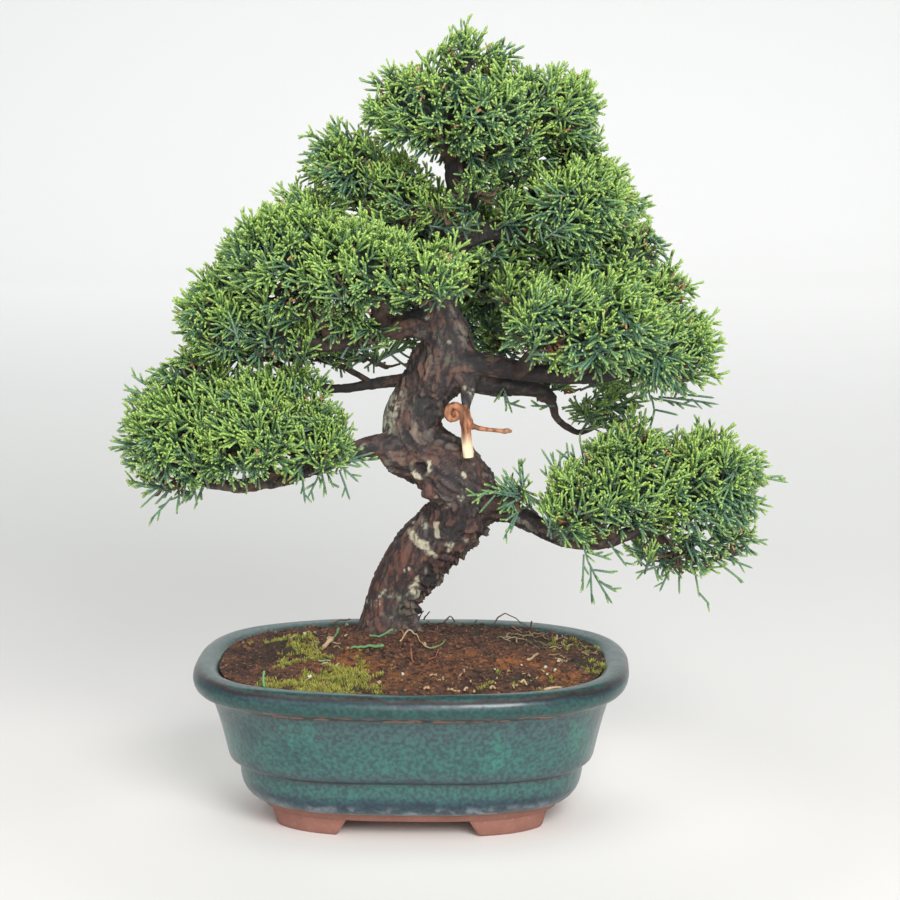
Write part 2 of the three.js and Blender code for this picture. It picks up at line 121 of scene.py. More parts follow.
class Grain:
    """Repeatable noise, worked out for many points at once."""

    FULL = np.uint64(0xFFFFFFFF)

    @classmethod
    def scatter(cls, cells: Array, seed: int) -> Array:
        """One number from 0 to 1 for each whole-numbered cell.

        Args:
            cells: Whole numbers, three to a row.
            seed: Which of the endless fields of numbers to read.

        Returns:
            One number a row.
        """
        x, y, z = (cells[..., i].astype(np.uint64) for i in range(3))
        mixed = x * np.uint64(73856093) ^ y * np.uint64(19349663) ^ z * np.uint64(83492791)
        mixed = (mixed + np.uint64(seed * 2654435761)) & cls.FULL
        for turn in (15, 12, 16):
            mixed = ((mixed ^ (mixed >> np.uint64(turn))) * np.uint64(0x45D9F3B)) & cls.FULL
        return mixed.astype(float) / float(cls.FULL)

    @classmethod
    def smooth(cls, points: Array, seed: int, octaves: int = 1) -> Array:
        """Smooth noise from about -1 to 1.

        Args:
            points: Three numbers a row; the noise changes over a distance of about 1.
            seed: Which field to read.
            octaves: How many finer layers are added.

        Returns:
            One number a row.
        """
        total, strength = np.zeros(len(points)), 1.0
        for octave in range(octaves):
            place = points * 2**octave + 1000.0
            cell = np.floor(place).astype(np.int64)
            part = place - cell
            fade = part * part * (3 - 2 * part)
            for corner in product((0, 1), repeat=3):
                weight = np.prod(np.where(corner, fade, 1 - fade), axis=1)
                level = cls.scatter(cell + np.array(corner), seed + octave)
                total += strength * weight * (2 * level - 1)
            strength *= 0.5
        return total

    @classmethod
    def flakes(cls, points: Array, seed: int) -> tuple[Array, Array]:
        """Irregular cells about 1 across, as bark splits into plates.

        Args:
            points: Three numbers a row.
            seed: Which field to read.

        Returns:
            How far each point is from its cell's border, and its cell's own number from 0 to 1.
        """
        cell = np.floor(points + 1000.0).astype(np.int64)
        nearest = np.full(len(points), 9.0)
        second = np.full(len(points), 9.0)
        level = np.zeros(len(points))
        for step in product((-1, 0, 1), repeat=3):
            near = cell + np.array(step)
            heart = near + np.stack([cls.scatter(near, seed + k) for k in (1, 2, 3)], axis=1)
            away = np.linalg.norm(points + 1000.0 - heart, axis=1)
            closer = away < nearest
            second = np.where(closer, nearest, np.minimum(second, away))
            level = np.where(closer, cls.scatter(near, seed + 4), level)
            nearest = np.where(closer, away, nearest)
        return second - nearest, level


@dataclass
class Skin:
    """Points in millimetres and the faces over them.

    Each named value is a number or a direction for every point.
    """

    points: Array
    faces: Faces
    values: dict[str, Array] = field(default_factory=dict)

    def moved(self, offset: Array) -> "Skin":
        """The same skin, further along."""
        return Skin(self.points + offset, self.faces, self.values)

    def mesh(self, name: str, smooth: bool = True) -> bpy.types.Mesh:
        """A Blender mesh in metres.

        Args:
            name: The mesh's name.
            smooth: Whether its faces are shaded as one round surface.

        Returns:
            The mesh, with each named value as a point attribute.
        """
        made = bpy.data.meshes.new(name)
        made.from_pydata((self.points * MM).tolist(), [], self.faces, shade_flat=not smooth)
        for key, numbers in self.values.items():
            kind, part = ("FLOAT_VECTOR", "vector") if numbers.ndim == 2 else ("FLOAT", "value")
            attribute = made.attributes.new(key, kind, "POINT")
            attribute.data.foreach_set(part, np.asarray(numbers, np.float32).ravel())
        made.update()
        return made


def joined(skins: list[Skin]) -> Skin:
    """Several skins as one.

    Args:
        skins: The skins.

    Returns:
        One skin; a value that one of them lacks is 0 there.
    """
    shapes = {key: skin.values[key].shape[1:] for skin in skins for key in skin.values}
    faces: Faces = []
    start = 0
    for skin in skins:
        faces += [tuple(i + start for i in face) for face in skin.faces]
        start += len(skin.points)
    values = {
        key: np.concatenate([skin.values.get(key, np.zeros((len(skin.points), *shape))) for skin in skins])
        for key, shape in sorted(shapes.items())
    }
    return Skin(np.concatenate([skin.points for skin in skins]), faces, values)


def lofted(rings: Array, closed_ends: bool = True) -> Skin:
    """A skin over rings of points, each with a middle point at the two ends.

    Args:
        rings: Points as ring, place in the ring, axis.
        closed_ends: Whether the two ends are closed.

    Returns:
        The skin, facing out where the rings run anticlockwise seen from the next one.
    """
    count, sides = rings.shape[:2]
    points = rings.reshape(-1, 3)
    faces = [
        (i * sides + j, i * sides + (j + 1) % sides, (i + 1) * sides + (j + 1) % sides, (i + 1) * sides + j)
        for i in range(count - 1)
        for j in range(sides)
    ]
    if closed_ends:
        low, high = len(points), len(points) + 1
        last = (count - 1) * sides
        points = np.concatenate([points, rings[:1].mean(axis=1), rings[-1:].mean(axis=1)])
        faces += [(low, (j + 1) % sides, j) for j in range(sides)]
        faces += [(high, last + j, last + (j + 1) % sides) for j in range(sides)]
    return Skin(points, faces)


def rounded_path(rows: Array, per_span: int) -> Array:
    """A smooth line through rows of numbers, with the same columns.

    Args:
        rows: The rows that it passes through.
        per_span: How many steps it takes from one row to the next.

    Returns:
        The rows of the line.
    """
    padded = np.vstack([2 * rows[0] - rows[1], rows, 2 * rows[-1] - rows[-2]])
    made = []
    for i in range(1, len(padded) - 2):
        a, b, c, d = padded[i - 1 : i + 3]
        for t in np.arange(per_span) / per_span:
            pull = (c - a) * t + (2 * a - 5 * b + 4 * c - d) * t**2 + (3 * b - 3 * c + d - a) * t**3
            made.append(b + pull / 2)
    return np.array(made + [rows[-1]])


def carried_frames(path: Array) -> tuple[Array, Array, Array]:
    """Directions that follow a path without twisting round it.

    Args:
        path: The points of the path.

    Returns:
        The way ahead and the two ways across it, at each point.
    """
    ahead = np.gradient(path, axis=0)
    ahead /= np.linalg.norm(ahead, axis=1, keepdims=True)
    side = np.array([1.0, 0, 0]) if abs(ahead[0][0]) < 0.9 else np.array([0, 1.0, 0])
    sides = []
    for way in ahead:
        side = side - way * (side @ way)
        side = side / np.linalg.norm(side)
        sides.append(side)
    across = np.array(sides)
    return ahead, across, np.cross(ahead, across)


def tube(path: Array, radii: Array, sides: int) -> Skin:
    """A closed round tube along a path.

    Args:
        path: The points of its middle line.
        radii: Its radius at each point.
        sides: How many sides it has.

    Returns:
        The skin.
    """
    _, across, other = carried_frames(path)
    turns = np.arange(sides) / sides * 2 * math.pi
    rings = path[:, None] + radii[:, None, None] * (
        across[:, None] * np.cos(turns)[None, :, None] + other[:, None] * np.sin(turns)[None, :, None]
    )
    return lofted(rings)


def ball(divisions: int) -> tuple[Array, Faces]:
    """The points and faces of a ball of radius 1.

    Args:
        divisions: How fine its triangles are.

    Returns:
        Its points and its faces, even triangles.
    """
    shape = bmesh.new()
    bmesh.ops.create_icosphere(shape, subdivisions=divisions, radius=1)
    points = np.array([v.co[:] for v in shape.verts])
    faces = [tuple(v.index for v in f.verts) for f in shape.faces]
    shape.free()
    return points, faces


def shown(name: str, mesh: bpy.types.Mesh, materials: list[Material]) -> Piece:
    """Puts a mesh into the scene, at the origin.

    Args:
        name: The object's name.
        mesh: Its mesh.
        materials: Its materials.

    Returns:
        The new object.
    """
    made = bpy.data.objects.new(name, mesh)
    mesh.materials.clear()
    for material in materials:
        mesh.materials.append(material)
    bpy.context.scene.collection.objects.link(made)
    return made


def finished(piece: Piece) -> Piece:
    """Works an object's modifiers into its mesh.

    Args:
        piece: The object.

    Returns:
        The same object, with a plain mesh.
    """
    graph = bpy.context.evaluated_depsgraph_get()
    mesh = bpy.data.meshes.new_from_object(
        piece.evaluated_get(graph), preserve_all_data_layers=True, depsgraph=graph
    )
    piece.modifiers.clear()
    old = piece.data
    piece.data = mesh
    bpy.data.meshes.remove(old)
    return piece


def placed(piece: Piece, slot: Slot, *nodes: str) -> Piece:
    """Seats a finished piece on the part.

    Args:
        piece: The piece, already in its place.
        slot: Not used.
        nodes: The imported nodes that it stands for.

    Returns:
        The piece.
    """
    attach(piece, BODY)
    if nodes:
        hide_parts(*nodes)
    triangles = sum(len(face.vertices) - 2 for face in piece.data.polygons)
    log.info("%s: %d triangles", piece.name, triangles)
    return piece


class Tree:
    """A tree of nodes, put together by short calls."""

    tree: bpy.types.NodeTree

    def node(self, kind: str, inputs: dict | None = None, **settings: object) -> bpy.types.Node:
        """Adds one node.

        Args:
            kind: The node's type.
            inputs: A value or a socket for each of its inputs, by name or number.
            settings: Its other settings.

        Returns:
            The node.
        """
        made = self.tree.nodes.new(kind)
        for key, value in settings.items():
            setattr(made, key, value)
        for key, value in (inputs or {}).items():
            if isinstance(value, Socket):
                self.tree.links.new(value, made.inputs[key])
            else:
                made.inputs[key].default_value = value
        return made

    def maths(self, operation: str, a: object, b: object = 0.0, limit: bool = False) -> Socket:
        """One sum on two numbers or sockets."""
        return self.node("ShaderNodeMath", {0: a, 1: b}, operation=operation, use_clamp=limit).outputs[0]

    def direction(self, operation: str, a: Socket, b: object = None) -> Socket:
        """One sum on a direction, with a second one, with a number to scale it by, or alone."""
        inputs = {0: a} if b is None else {0: a, "Scale" if operation == "SCALE" else 1: b}
        return self.node("ShaderNodeVectorMath", inputs, operation=operation).outputs[0]


def normals_of(skin: Skin) -> Array:
    """The way that a surface faces.

    Args:
        skin: The surface.

    Returns:
        Its direction at each of the skin's points.
    """
    mesh = skin.mesh("normals")
    normals = np.array([v.normal[:] for v in mesh.vertices])
    bpy.data.meshes.remove(mesh)
    return normals


def new_piece(
    name: str, skin: Skin, finish: Material, slot: Slot, *nodes: str
) -> Piece:
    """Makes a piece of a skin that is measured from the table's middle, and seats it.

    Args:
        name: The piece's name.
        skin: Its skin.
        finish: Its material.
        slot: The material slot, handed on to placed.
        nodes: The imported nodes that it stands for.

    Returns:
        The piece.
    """
    return placed(shown(name, skin.moved(ORIGIN).mesh(name), [finish]), slot, *nodes)


class Recipe(Tree):
    """A material's nodes, with its colour so far."""

    def __init__(self, name: str, colour: object = None) -> None:
        """Starts an empty material.

        Args:
            name: Its name.
            colour: The colour that it starts from.
        """
        self.material = bpy.data.materials.new(name)
        self.material.use_nodes = True
        self.tree = self.material.node_tree
        self.tree.nodes.clear()
        self.colour = colour

    def place(self) -> Socket:
        """Where a point is on the object, in metres."""
        return self.node("ShaderNodeTexCoord").outputs["Object"]

    def value(self, name: str) -> Socket:
        """One of the mesh's named values."""
        return self.node("ShaderNodeAttribute", attribute_name=name).outputs["Fac"]

    def noise(self, size: float, detail: float, stretch: Sizes = (1, 1, 1)) -> Socket:
        """Soft noise over the object.

        Args:
            size: About how far apart its patches are, in millimetres.
            detail: How many finer layers it has.
            stretch: How much longer the patches are along each axis.

        Returns:
            A number from 0 to 1.
        """
        scale = tuple(1 / (size * MM * s) for s in stretch)
        mapped = self.node("ShaderNodeMapping", {"Vector": self.place(), "Scale": scale}).outputs[0]
        inputs = {"Vector": mapped, "Scale": 1.0, "Detail": detail}
        return self.node("ShaderNodeTexNoise", inputs).outputs["Fac"]

    def drift(self, size: float, detail: float, reach: float) -> Socket:
        """Soft noise that wanders either way by up to half of a reach."""
        return self.maths("MULTIPLY", self.maths("SUBTRACT", self.noise(size, detail), 0.5), reach)

    def rise(self, value: object, low: float, high: float) -> Socket:
        """A smooth rise from 0 to 1 as the value goes from low to high."""
        inputs = {"Value": value, "From Min": low, "From Max": high}
        return self.node("ShaderNodeMapRange", inputs, interpolation_type="SMOOTHSTEP").outputs[0]

    def patches(
        self, size: float, detail: float, low: float, high: float, stretch: Sizes = (1, 1, 1)
    ) -> Socket:
        """Soft-edged patches: 0 where the noise is under low and 1 where it is over high."""
        return self.rise(self.noise(size, detail, stretch), low, high)

    def share(self, *parts: object) -> Socket:
        """Shares multiplied together, kept from 0 to 1."""
        return reduce(lambda a, b: self.maths("MULTIPLY", a, b, True), parts)

    def ramp(self, value: object, stops: list[tuple[float, Colour]]) -> Socket:
        """A colour for each value.

        Args:
            value: The number that is read, from 0 to 1.
            stops: Its (value, colour) stops.

        Returns:
            The colour.
        """
        made = self.node("ShaderNodeValToRGB", {"Fac": value})
        marks = made.color_ramp.elements
        while len(marks) < len(stops):
            marks.new(0.5)
        for mark, (position, colour) in zip(marks, stops):
            mark.position = position
            mark.color = colour
        return made.outputs["Color"]

    def blend(self, share: object, a: object, b: object, way: str = "MIX") -> Socket:
        """Colour a going over to colour b by a share from 0 to 1."""
        return self.node("ShaderNodeMix", {0: share, 6: a, 7: b}, data_type="RGBA", blend_type=way).outputs[2]

    def lay(self, colour: object, *shares: object) -> None:
        """Lays a colour over the one so far, by shares multiplied together."""
        self.colour = self.blend(self.share(*shares), self.colour, colour)

    def relief(self, height: Socket, depth: float, below: Socket | None = None) -> Socket:
        """Bumps in the surface.

        Args:
            height: Their pattern, from 0 to 1.
            depth: Their depth in millimetres.
            below: Bumps that they lie on top of.

        Returns:
            The way that the bumpy surface faces.
        """
        inputs: dict = {"Height": height, "Distance": depth * MM, "Strength": 1.0}
        if below is not None:
            inputs["Normal"] = below
        return self.node("ShaderNodeBump", inputs).outputs[0]

    def surface(self, more: dict) -> Socket:
        """A principled surface with these inputs."""
        return self.node("ShaderNodeBsdfPrincipled", more).outputs[0]

    def done(self, shader: Socket) -> Material:
        """Ends the material with its surface."""
        self.node("ShaderNodeOutputMaterial", {"Surface": shader})
        return self.material

    def plain(self, roughness: float, shine: float = 0.5, **bumps: Socket) -> Material:
        """Ends the material with one surface of the colour so far; its bumps, if any, are Normal."""
        return self.done(self.surface({
            "Base Color": self.colour, "Roughness": roughness, "Specular IOR Level": shine, **bumps}))


@dataclass(frozen=True)
class GlazeFinish:
    """A pooled blue-green glaze that breaks brown on the edges, over bare red-brown clay."""

    tallest: float = 84.0
    clay_top: float = 10.1
    clay: Colour = paint(160, 112, 97)
    clay_dark: Colour = paint(126, 84, 73)
    haze: Colour = paint(176, 186, 190)
    navy: Colour = paint(62, 82, 98)
    slate: Colour = paint(98, 114, 118)
    teal: Colour = paint(88, 124, 122)
    sea: Colour = paint(90, 148, 136)
    turquoise: Colour = paint(52, 100, 96)
    brown: Colour = paint(98, 72, 68)
    rust: Colour = paint(140, 96, 82)
    plum: Colour = paint(58, 46, 54)
    rim: Colour = paint(66, 100, 100)
    lime: Colour = paint(150, 156, 140)
    speck: Colour = paint(48, 64, 78)
    bead: Colour = paint(60, 90, 92)
    lip: Colour = paint(62, 94, 96)
    lip_top: Colour = paint(60, 76, 84)
    wall_foot: Pair = (27.0, 33.0)
    wall_top: Pair = (50.0, 47.0)
    worn_from: Pair = (49.6, 50.1)
    worn_to: Pair = (52.4, 51.6)
    salt_to: Pair = (15.5, 11.5)
    dry_to: Pair = (16.0, 11.0)

    def stops(self) -> list[tuple[float, Colour]]:
        """The glaze's colours.

        Returns:
            Each colour and its place up the outside, over the rim and down the inside.
        """
        rows = [
            (self.clay_top, self.slate), (12.5, self.navy), (15.5, self.navy), (18.5, self.teal),
            (21.5, self.teal), (23.0, self.slate), (23.9, self.brown), (24.7, self.navy),
            (26.6, self.slate), (29.5, self.teal), (37.0, self.teal), (44.0, self.slate),
            (49.3, self.slate), (50.2, self.brown), (51.0, self.brown), (51.9, self.bead),
            (54.6, self.turquoise), (56.6, self.lip), (58.0, self.lip_top), (58.7, self.plum),
            (59.4, self.brown), (59.8, self.rim), (64.5, self.rim), (67.0, self.lime), (70.0, self.teal),
        ]
        return [(height / self.tallest, colour) for height, colour in rows]

    def pool(self, made: Recipe, run: Socket, salt: Socket) -> None:
        """Lays the glaze's colours.

        Args:
            made: The recipe that they go into.
            run: How far up the outside and over the rim a point is.
            salt: Where the pale bloom at the foot is.
        """
        shift = made.maths("ADD", made.drift(9, 4, 2.6), made.drift(34, 2, 2.4))
        level = made.maths("DIVIDE", made.maths("ADD", run, shift), self.tallest)
        made.colour = made.ramp(level, self.stops())
        wall = made.share(made.rise(run, *self.wall_foot), made.rise(run, *self.wall_top))
        made.lay(self.sea, made.patches(11, 5, 0.52, 0.72, (1, 1, 3.5)), wall, 0.75)
        made.lay(self.navy, made.patches(17, 4, 0.56, 0.70, (1, 1, 1.6)), wall, 0.55)
        speckle = made.blend(made.patches(1.5, 3, 0.34, 0.68), self.speck, self.sea)
        made.colour = made.blend(0.75, made.colour, speckle, "OVERLAY")
        edge = made.share(made.rise(run, *self.worn_from), made.rise(run, *self.worn_to))
        made.lay(self.rust, made.patches(6.5, 4, 0.50, 0.56), edge)
        made.lay(self.haze, salt, 0.45)

    def material(self) -> Material:
        """The pot's material, by its "run" up the outside and over the rim.

        Returns:
            The material.
        """
        made = Recipe("glaze_over_clay")
        run = made.value("run")
        salt = made.share(made.patches(4.5, 6, 0.42, 0.66), made.rise(run, *self.salt_to))
        bare = made.blend(made.noise(6, 5), self.clay_dark, self.clay)
        bare = made.blend(made.share(made.patches(1.1, 2, 0.6, 0.72), 0.12), bare, self.haze)
        edge = made.maths("ADD", run, made.drift(5, 4, 1.2))
        glazed = made.rise(edge, self.clay_top - 0.15, self.clay_top + 0.15)
        pits = made.relief(made.patches(2.2, 2, 0.25, 0.4), 0.03, made.relief(made.noise(14, 2), 0.5))
        dry = made.share(made.rise(run, *self.dry_to), salt, 0.5)
        self.pool(made, run, salt)
        wet = made.surface({
            "Base Color": made.colour, "Roughness": made.maths("ADD", 0.3, dry), "Normal": pits,
            "IOR": 1.52, "Coat Weight": 0.08, "Coat Roughness": 0.3,
        })
        grit = made.relief(made.noise(0.7, 3), 0.12)
        matt = made.surface({"Base Color": bare, "Roughness": 0.86, "Normal": grit})
        return made.done(made.node("ShaderNodeMixShader", {0: glazed, 1: matt, 2: wet}).outputs[0])


@dataclass(frozen=True)
class ScreenFinish:
    """Black plastic mesh, dulled by clay dust."""

    plastic: Colour = paint(38, 40, 40)
    dust: Colour = paint(96, 78, 66)

    def material(self) -> Material:
        """The drain screens' material.

        Returns:
            The material.
        """
        made = Recipe("dusty_plastic_mesh", self.plastic)
        made.lay(self.dust, made.patches(3, 4, 0.45, 0.75))
        return made.plain(0.55, Normal=made.relief(made.noise(0.5, 2), 0.05))


@dataclass(frozen=True)
class BarkFinish:
    """Old flaking bark: dark in its cracks, grey-brown on its plates, red-brown where it has peeled; painted
    shade and painted light are laid on it too.
    """

    crack: Colour = paint(42, 40, 42)
    plate: Colour = paint(80, 73, 71)
    plate_light: Colour = paint(132, 121, 109)
    peeled: Colour = paint(118, 78, 66)
    lichen: Colour = paint(186, 188, 166)
    algae: Colour = paint(98, 112, 84)
    bare: Colour = paint(192, 184, 160)
    umber: Colour = paint(82, 72, 70)
    russet: Colour = paint(116, 88, 77)
    ash: Colour = paint(88, 82, 80)
    peeled_dark: Colour = paint(96, 64, 54)

    def material(self) -> Material:
        """The bark's material, by the values that the trunk's maker leaves on it.

        Returns:
            The material.
        """
        made = Recipe("old_juniper_bark")
        fine = made.noise(1.6, 6, (1, 1, 2.6))
        plates = made.ramp(made.value("level"), [
            (0.0, self.plate), (0.3, self.umber), (0.5, self.russet), (0.72, self.plate),
            (0.86, self.plate_light), (1.0, self.ash),
        ])
        made.colour = made.blend(made.rise(fine, 0.38, 0.62), made.blend(0.6, plates, self.crack), plates)
        under = made.blend(made.noise(2.4, 5, (1, 1, 4)), self.peeled_dark, self.peeled)
        made.lay(under, made.value("peel"), made.patches(4, 4, 0.28, 0.55, (1, 1, 2)))
        # Lichen specks, and a pale band of painted light down the trunk's left side.
        made.lay(self.lichen, made.value("lichen"), made.patches(2.6, 6, 0.40, 0.60))
        made.lay(self.algae, made.patches(8, 5, 0.58, 0.74), 0.5)
        # Painted shade comes in with the cracks: on low plates, in the knot's hollow and under the foliage.
        made.lay(self.crack, made.rise(made.value("crack"), 0.1, 0.85), 0.9)
        made.lay(self.bare, made.value("bare"), made.rise(fine, 0.3, 0.5))
        bumps = made.relief(fine, 0.35, made.relief(made.noise(2.2, 5, (1, 1, 3)), 1.1))
        return made.plain(0.82, Normal=bumps)


@dataclass(frozen=True)
class TwigFinish:
    """Thin brown twigs inside the pads, some of them still orange, and dark lumps of painted shade in the
    pads' middles.
    """

    dark: Colour = paint(78, 72, 64)
    brown: Colour = paint(124, 100, 80)
    orange: Colour = paint(168, 116, 84)
    shade: Colour = paint(70, 86, 68)
    pit: Colour = paint(38, 48, 40)

    def material(self) -> Material:
        """The twigs' material; "shade" is 1 on the lumps of painted shade inside a pad.

        Returns:
            The material.
        """
        made = Recipe("inner_twigs", self.dark)
        made.lay(self.brown, made.patches(3, 4, 0.35, 0.7))
        made.lay(self.orange, made.patches(14, 2, 0.55, 0.7))
        # Painted shade: dark green-grey, speckled darker, on the lumps.
        heart = made.blend(made.patches(2.2, 5, 0.42, 0.6), self.pit, self.shade)
        made.lay(heart, made.value("shade"))
        return made.plain(0.95, 0.1, Normal=made.relief(made.noise(1.4, 5), 1.2))


@dataclass(frozen=True)
class DeadwoodFinish:
    """Bare orange-tan wood that pales to cream at the cut end."""

    tan: Colour = paint(180, 122, 86)
    brown: Colour = paint(122, 78, 54)
    cream: Colour = paint(250, 222, 184)
    crack: Colour = paint(92, 50, 34)

    def material(self) -> Material:
        """The deadwood's material, by its "pale" value and the grain along it.

        Returns:
            The material.
        """
        made = Recipe("bare_deadwood", self.brown)
        grain = made.noise(2.2, 5, (1, 1, 5))
        made.lay(self.tan, made.rise(grain, 0.34, 0.62))
        made.lay(self.cream, made.rise(made.value("pale"), 0.05, 0.95))
        made.lay(self.crack, made.value("crack"), 0.8)
        return made.plain(0.62, Normal=made.relief(grain, 0.5))


@dataclass(frozen=True)
class SoilFinish:
    """Fine red-brown soil, darker in patches, with pale grit."""

    red: Colour = paint(106, 73, 57)
    orange: Colour = paint(150, 96, 58)
    dark: Colour = paint(62, 50, 46)
    mossy: Colour = paint(62, 64, 46)
    fleck: Colour = paint(168, 128, 96)
    brown: Colour = paint(84, 62, 53)
    pit: Colour = paint(46, 37, 35)

    def material(self) -> Material:
        """The soil's material, by its "darkened", "mossy" and "dry" values and noise.

        Returns:
            The material.
        """
        made = Recipe("red_brown_soil", self.brown)
        made.lay(self.red, made.patches(7, 6, 0.36, 0.64))
        made.lay(self.orange, made.value("dry"), made.patches(4, 6, 0.34, 0.56))
        made.lay(self.dark, made.value("damp"), made.patches(5, 6, 0.30, 0.60), 0.9)
        made.lay(self.mossy, made.value("mossy"), made.patches(4.5, 6, 0.40, 0.58), 0.85)
        made.lay(self.pit, made.patches(2.4, 6, 0.50, 0.62), 0.8)
        made.lay(self.fleck, made.patches(1.4, 5, 0.60, 0.68), 0.7)
        bumps = made.relief(made.noise(0.9, 5), 0.6, made.relief(made.noise(2.6, 6), 1.6))
        return made.plain(0.95, 0.2, Normal=bumps)


@dataclass(frozen=True)
class GritFinish:
    """Crumbs of soil with some pale grit among them."""

    low: Colour = paint(70, 54, 48)
    middle: Colour = paint(98, 70, 56)
    high: Colour = paint(126, 86, 64)
    pale: Colour = paint(180, 158, 128)

    def material(self) -> Material:
        """The crumbs' material, by each one's own "tint".

        Returns:
            The material.
        """
        made = Recipe("soil_crumbs")
        made.colour = made.ramp(made.value("tint"), [
            (0.0, self.low), (0.45, self.middle), (0.8, self.high), (0.99, self.high), (0.994, self.pale),
        ])
        return made.plain(0.93, Normal=made.relief(made.noise(0.6, 3), 0.2))


@dataclass(frozen=True)
class MossFinish:
    """Low moss, yellow-green on its tips and brown at its feet."""

    foot: Colour = paint(54, 50, 30)
    green: Colour = paint(124, 132, 54)
    tip: Colour = paint(212, 210, 98)
    dry: Colour = paint(150, 128, 66)

    def material(self) -> Material:
        """The moss's material, by its height along each blade and each tuft's "tint".

        Returns:
            The material.
        """
        made = Recipe("soil_moss")
        made.colour = made.ramp(made.value("along"), [(0.0, self.foot), (0.5, self.green), (1.0, self.tip)])
        made.lay(self.dry, made.rise(made.value("tint"), 0.6, 0.95), 0.7)
        return made.plain(0.8, Normal=made.relief(made.noise(0.8, 3), 0.15))


@dataclass(frozen=True)
class LitterFinish:
    """Clippings, roots and bits of twig on the soil."""

    stale: Colour = paint(84, 66, 56)
    root: Colour = paint(194, 172, 132)
    red: Colour = paint(164, 96, 70)
    fresh: Colour = paint(104, 152, 92)
    white: Colour = paint(226, 222, 204)
    grime: Colour = paint(60, 52, 40)

    def material(self) -> Material:
        """The litter's material, by each bit's "kind" from 0 to 1.

        Returns:
            The material.
        """
        made = Recipe("soil_litter")
        row = (self.stale, self.root, self.red, self.fresh, self.white)
        made.colour = made.ramp(made.value("kind"), [(i / 4, kind) for i, kind in enumerate(row)])
        made.lay(self.grime, made.patches(2.0, 4, 0.3, 0.8), 0.35)
        return made.plain(0.7, Normal=made.relief(made.noise(0.8, 3), 0.15))


@dataclass(frozen=True)
class FoliageFinish:
    """Scale leaves: blue-green in the shade of a spray, mid green above, yellow-green at the tips."""

    scale_length: float = 1.25
    deep: Colour = paint(118, 134, 118)
    cool: Colour = paint(98, 128, 104)
    green: Colour = paint(110, 150, 94)
    tip: Colour = paint(196, 220, 112)
    brown: Colour = paint(186, 128, 96)
    yellow_green_and_painted_light: Colour = paint(150, 184, 84)
    bluish_and_painted_shade: Colour = paint(74, 112, 98)
    seam: Colour = paint(54, 84, 58)

    def material(self) -> Material:
        """The foliage's material, by the values along each shoot and each spray's "tint" and "lift".

        Returns:
            The material.
        """
        made = Recipe("juniper_foliage")
        along, tip = made.value("along"), made.value("tip")
        # Painted light and shade: sprays that point up ("lift") are painted lighter and yellower, those that
        # point down bluer.
        lift = made.maths("MULTIPLY", made.value("lift"), 0.8)
        own = made.maths("MULTIPLY", made.value("tint"), 0.8)
        tint = made.maths("ADD", own, made.maths("ADD", lift, made.drift(26, 3, 1.4)), True)
        # Painted shade: darker and bluer low on each shoot, inside the spray.
        made.colour = made.ramp(along, [
            (0.0, self.deep), (0.45, self.cool), (0.8, self.green), (1.0, self.green)])
        made.lay(self.yellow_green_and_painted_light, made.rise(along, 0.3, 0.95), made.rise(tint, 0.35, 0.95), 0.8)
        made.lay(self.bluish_and_painted_shade, made.rise(tint, 0.4, 0.0), 0.65)
        made.lay(self.tip, made.rise(tip, 0.35, 1.0), 0.62)
        made.lay(self.brown, made.value("rust"), made.rise(tip, 0.3, 0.7), made.patches(18, 2, 0.46, 0.52))
        phase = made.maths("MULTIPLY", made.value("run"), 2 * math.pi / self.scale_length)
        scales = made.rise(made.maths("SINE", phase), -0.9, 0.6)
        made.lay(made.blend(scales, self.seam, made.colour), 0.25)
        return made.plain(0.42, Normal=made.relief(scales, 0.10))


